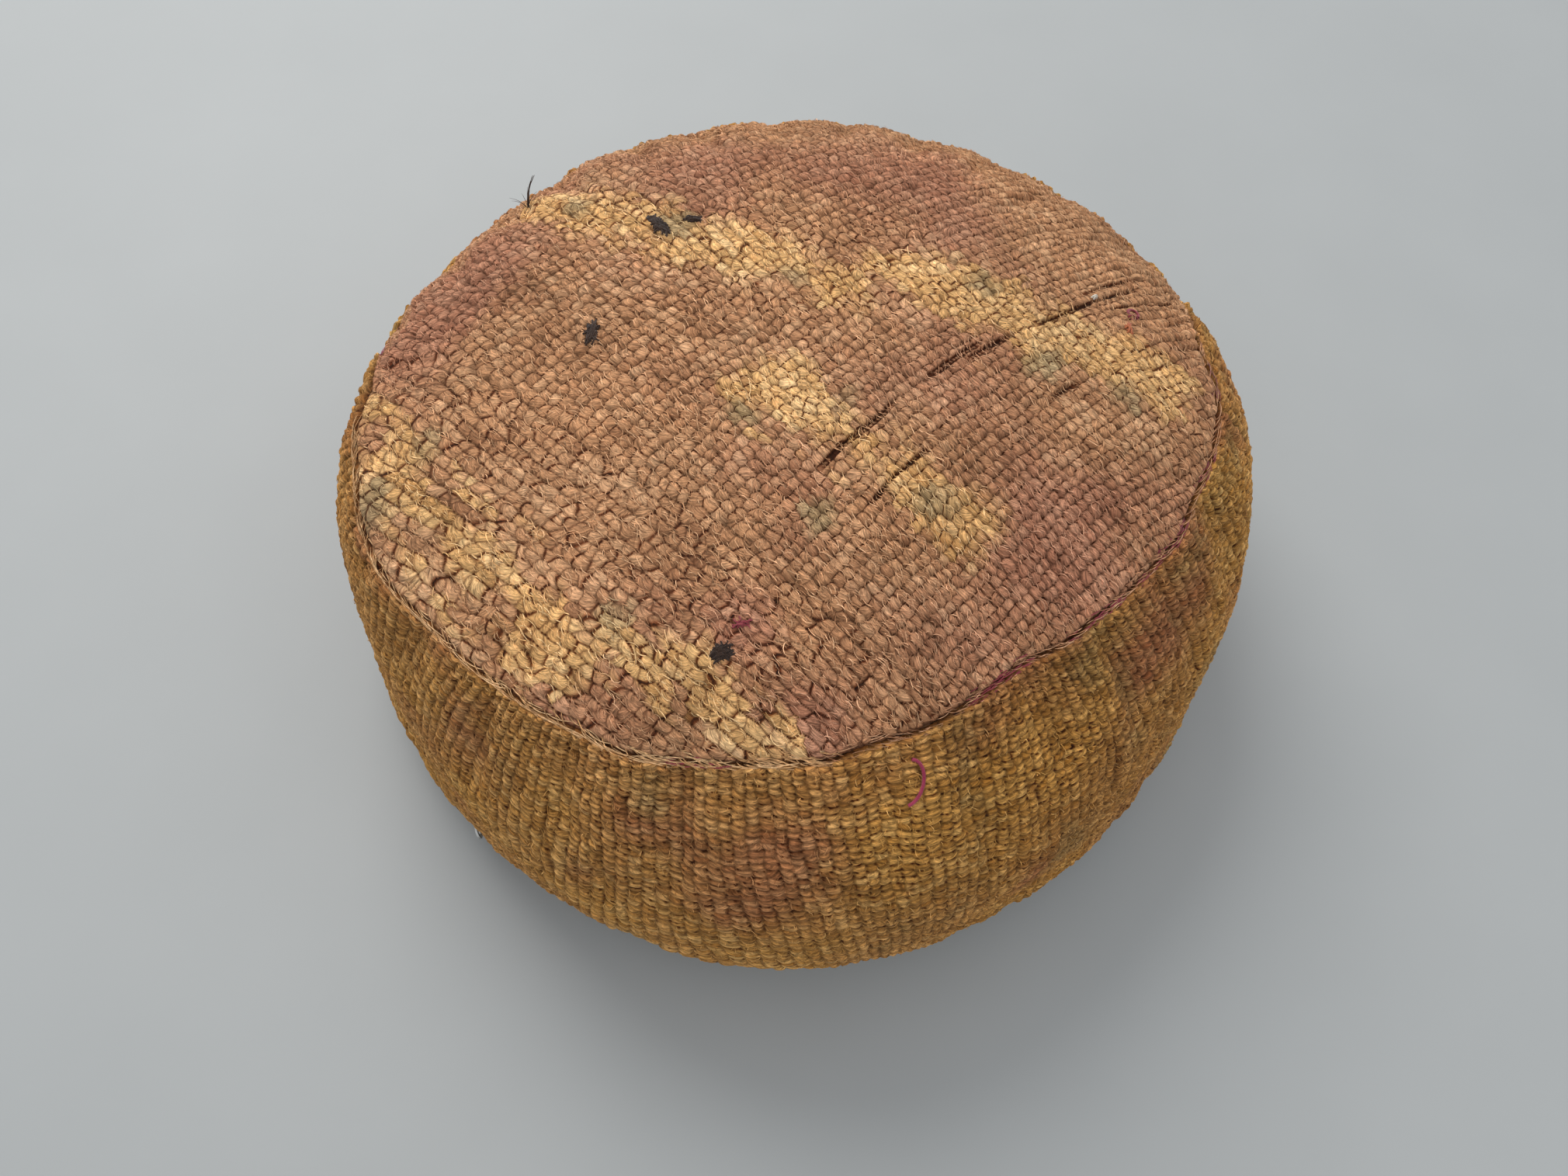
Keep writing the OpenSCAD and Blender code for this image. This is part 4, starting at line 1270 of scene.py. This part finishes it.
def yarn_loop():
    """A loop of loose yarn on the band, open to the left: five plies round one curve."""
    bend = np.linspace(-1.35, 1.5, 26)
    theta = math.radians(-74) + (9 * np.cos(bend) - 2.5 * np.sin(bend)) / 246
    r, z = section(theta, float(seam_arc(-1.3)) + 25 + 11.5 * np.sin(bend))
    out = np.stack([0.62 * np.cos(theta), 0.62 * np.sin(theta), 0.78 + 0 * theta], 1)
    middle = np.stack([r * np.cos(theta), r * np.sin(theta), z], 1) + out * 0.9
    along = np.gradient(middle, axis=0)
    along /= np.linalg.norm(along, axis=1, keepdims=True)
    side = np.cross(along, out)
    winds = (np.linspace(0, 9, 26)[:, None] + k * TAU / 5 for k in range(5))
    return np.array([middle + 0.5 * (side * np.cos(wind) + out * np.sin(wind)) for wind in winds])


def bristle():
    """A stiff dark strand that stands at the back shoulder and bends over, with finer hairs at its root."""
    low, high = (np.array(v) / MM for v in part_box("bristle_strand"))
    at = math.atan2(low[1] + high[1], low[0] + high[0])
    arc = TOP_R + 14
    r, z = section(at, arc)
    sunk = np.array([r * math.cos(at), r * math.sin(at), float(z) - 2])
    root = sunk + sample(top_move, np.array(at), arc / seam_arc(at))
    t = np.linspace(0, 1, 12)[:, None]
    height = high[2] - root[2] - 4
    main = root + t * np.array([[1.0, 1.0, height * 0.92]]) + t ** 2 * np.array([[5.0, 1.0, -1.5]])
    strands = [main, main + 0.35 * np.sin(t * 7) + t * np.array([[0.6, 0.2, -0.4]])]
    for k in range(9):
        lean = (hash01(k, 0, 871) - 0.6) * 12, (hash01(k, 1, 871) - 0.5) * 8
        tall = height * (0.3 + 0.5 * hash01(k, 2, 871))
        strands.append(root + t * np.array([[lean[0], lean[1], tall]])
                       + t ** 2 * np.array([[lean[0] * 0.5, lean[1] * 0.4, -tall * 0.35]]))
    width = np.full((len(strands), len(t)), 0.16)
    width[:2] = 0.55
    return tubes("bristle", np.array(strands), width * (1 - 0.75 * t[:, 0] ** 2))


place_piece(tubes("yarn_loop", yarn_loop(), 0.42), magenta_wool, "magenta_wool", "magenta_yarn")
place_piece(bristle(), black_wool, "black_wool", "bristle_strand")

# ---------------------------------------------------------------- zip
slider_lo, slider_hi = (np.array(v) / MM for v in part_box("slider_body"))
SLIDER_AT = math.atan2(slider_lo[1] + slider_hi[1], slider_lo[0] + slider_hi[0])
SLIDER_HALF = math.asin(7 / ZIP_R)
ZIP_TRAVEL = math.radians(97)
COIL_FROM = SLIDER_AT - SLIDER_HALF - math.radians(0.1)
COIL_TO = SLIDER_AT + ZIP_TRAVEL + SLIDER_HALF + math.radians(0.5)
TAPE_FROM, TAPE_TO = COIL_FROM - math.radians(4.1), COIL_TO + math.radians(6.0)
COIL_MID_N, COIL_MID_S, COIL_HALF_N, COIL_HALF_S, COIL_PITCH, COIL_WIRE = 1.55, 2.35, 0.82, 1.12, 1.5, 0.36


def zip_place(theta, out, along):
    """A point of the zip: out of its tapes and up along them, in mm."""
    r = ZIP_R + out * math.cos(ZIP_TILT) + along * math.sin(ZIP_TILT)
    z = ZIP_Z - out * math.sin(ZIP_TILT) + along * math.cos(ZIP_TILT)
    return np.stack([r * np.cos(theta), r * np.sin(theta), z], -1)


def build_tape(name, side):
    """A woven tape: a flat closed strip with a thicker bead along its inner edge."""
    theta = np.linspace(TAPE_FROM, TAPE_TO, 520)
    along = np.linspace(1.0, 11.5, 16)
    thick = 0.28 - 0.10 * smooth((along - 9.5) / 2)
    ring_n = np.concatenate([thick, -thick[::-1]])[:, None]
    ring_s = np.concatenate([along, along[::-1]])[:, None] * side
    wave = 0.12 * np.sin(theta * 190) * smooth((np.abs(ring_s) - 3) / 6)
    p = zip_place(np.broadcast_to(theta, wave.shape), ring_n + wave, ring_s)
    k, j = np.meshgrid(np.arange(len(ring_n)), np.arange(len(theta) - 1), indexing="ij")
    k2, cols = (k + 1) % len(ring_n), len(theta)
    faces = np.stack([k * cols + j, k2 * cols + j, k2 * cols + j + 1, k * cols + j + 1], -1).reshape(-1, 4)
    return make_mesh(name, p.reshape(-1, 3), faces[:, ::-1] if side > 0 else faces)


def build_coil(name, side):
    """Nylon coil: one wire wound round its own core, a turn each pitch."""
    turns = int((COIL_TO - COIL_FROM) * ZIP_R / COIL_PITCH)
    t = np.linspace(0, 1, turns * 12 + 1)
    wind = t * turns * TAU + (0 if side > 0 else math.pi)
    theta = COIL_FROM + (COIL_TO - COIL_FROM) * t
    p = zip_place(theta, COIL_MID_N + COIL_HALF_N * np.sin(wind),
                  side * (COIL_MID_S + COIL_HALF_S * np.cos(wind)))
    return tubes(name, p[None], COIL_WIRE)


def zip_stitches(name, side, seed):
    """Machine stitches that hold a tape to the cover."""
    starts = np.arange(TAPE_FROM * ZIP_R + 4, TAPE_TO * ZIP_R - 6, 3.4) / ZIP_R
    t = np.linspace(0, 1, 6)[None]
    theta = starts[:, None] + t * 2.7 / ZIP_R
    wobble = 0.15 * (hash01(np.arange(len(starts)), 0, seed)[:, None] - 0.5)
    p = zip_place(theta, 0.42 + 0.32 * np.sin(math.pi * t) + 0 * theta, side * (9 + wobble + 0 * theta))
    return tubes(name, p, 0.3)


for half, side, seed in (("upper", 1, 901), ("lower", -1, 911)):
    place_piece(build_tape("tape_" + half, side), twill, "zip_tape", "zip_tape_" + half)
    place_piece(build_coil("coil_" + half, side), nylon, "zip_coil", "zip_coil_" + half)
    place_piece(zip_stitches("tape_stitches_" + half, side, seed), brown_thread, "sewing_thread",
                "zip_stitching_" + half)
for node in ("slider_body", "pull_tab", "zip_top_stops", "zip_bottom_stop"):
    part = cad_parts[node]
    part.data.materials.clear()
    part.data.materials.append(nickel)
    soft_edge = part.modifiers.new("edges", "BEVEL")
    soft_edge.width, soft_edge.segments, soft_edge.angle_limit = 0.22 * MM, 2, math.radians(35)

# ---------------------------------------------------------------- floor, light and camera
bpy.ops.mesh.primitive_plane_add(size=1)
floor = bpy.context.object
floor.name = "floor"
floor.scale = (6, 6, 1)
floor.location = (0, 0, -0.0004)
floor_mat, tree, shader, place = new_material("floor_pale")
pale = mixed(tree, cloud(tree, place, 9.0, 6.0), (0.41, 0.425, 0.425, 1), (0.445, 0.46, 0.46, 1))
dress(tree, shader, pale, {"Roughness": 0.55})
floor.data.materials.append(floor_mat)


def soft_light(name, at, aim, size, power, colour):
    """A round area light that looks at a point."""
    data = bpy.data.lights.new(name, "AREA")
    data.shape, data.size, data.energy, data.color = "DISK", size, power, colour
    ob = bpy.data.objects.new(name, data)
    bpy.context.scene.collection.objects.link(ob)
    ob.location = at
    ob.rotation_euler = (Vector(aim) - Vector(at)).to_track_quat("-Z", "Y").to_euler()


soft_light("key", (-0.9, 1.5, 2.3), (0, 0, 0.1), 1.8, 46, (1.0, 0.985, 0.96))
soft_light("fill", (1.6, -1.2, 2.0), (0, 0, 0.1), 2.2, 8, (0.95, 0.975, 1.0))
world = bpy.data.worlds.new("studio")
bpy.context.scene.world = world
world.use_nodes = True
sky = world.node_tree.nodes["Background"]
sky.inputs[0].default_value = (0.93, 0.965, 1.0, 1)
sky.inputs[1].default_value = 0.62

camera_data = bpy.data.cameras.new("camera")
camera_data.sensor_width = 36
camera_data.sensor_fit = "HORIZONTAL"
camera_data.lens = 30.17
camera = bpy.data.objects.new("camera", camera_data)
bpy.context.scene.collection.objects.link(camera)
# the camera stands in front of the cushion, above it, and looks steeply down at it
right = Vector((0.9987, 0.0455, 0.0226)).normalized()
ahead = Vector((0.0, 0.4448, -0.8956)).normalized()
up = right.cross(ahead).normalized()
right = ahead.cross(up).normalized()
camera.matrix_world = Matrix((
    (right.x, up.x, -ahead.x, -0.002),
    (right.y, up.y, -ahead.y, -0.408),
    (right.z, up.z, -ahead.z, 0.796),
    (0, 0, 0, 1)))
bpy.context.scene.camera = camera
bpy.context.scene.view_settings.view_transform = "Standard"
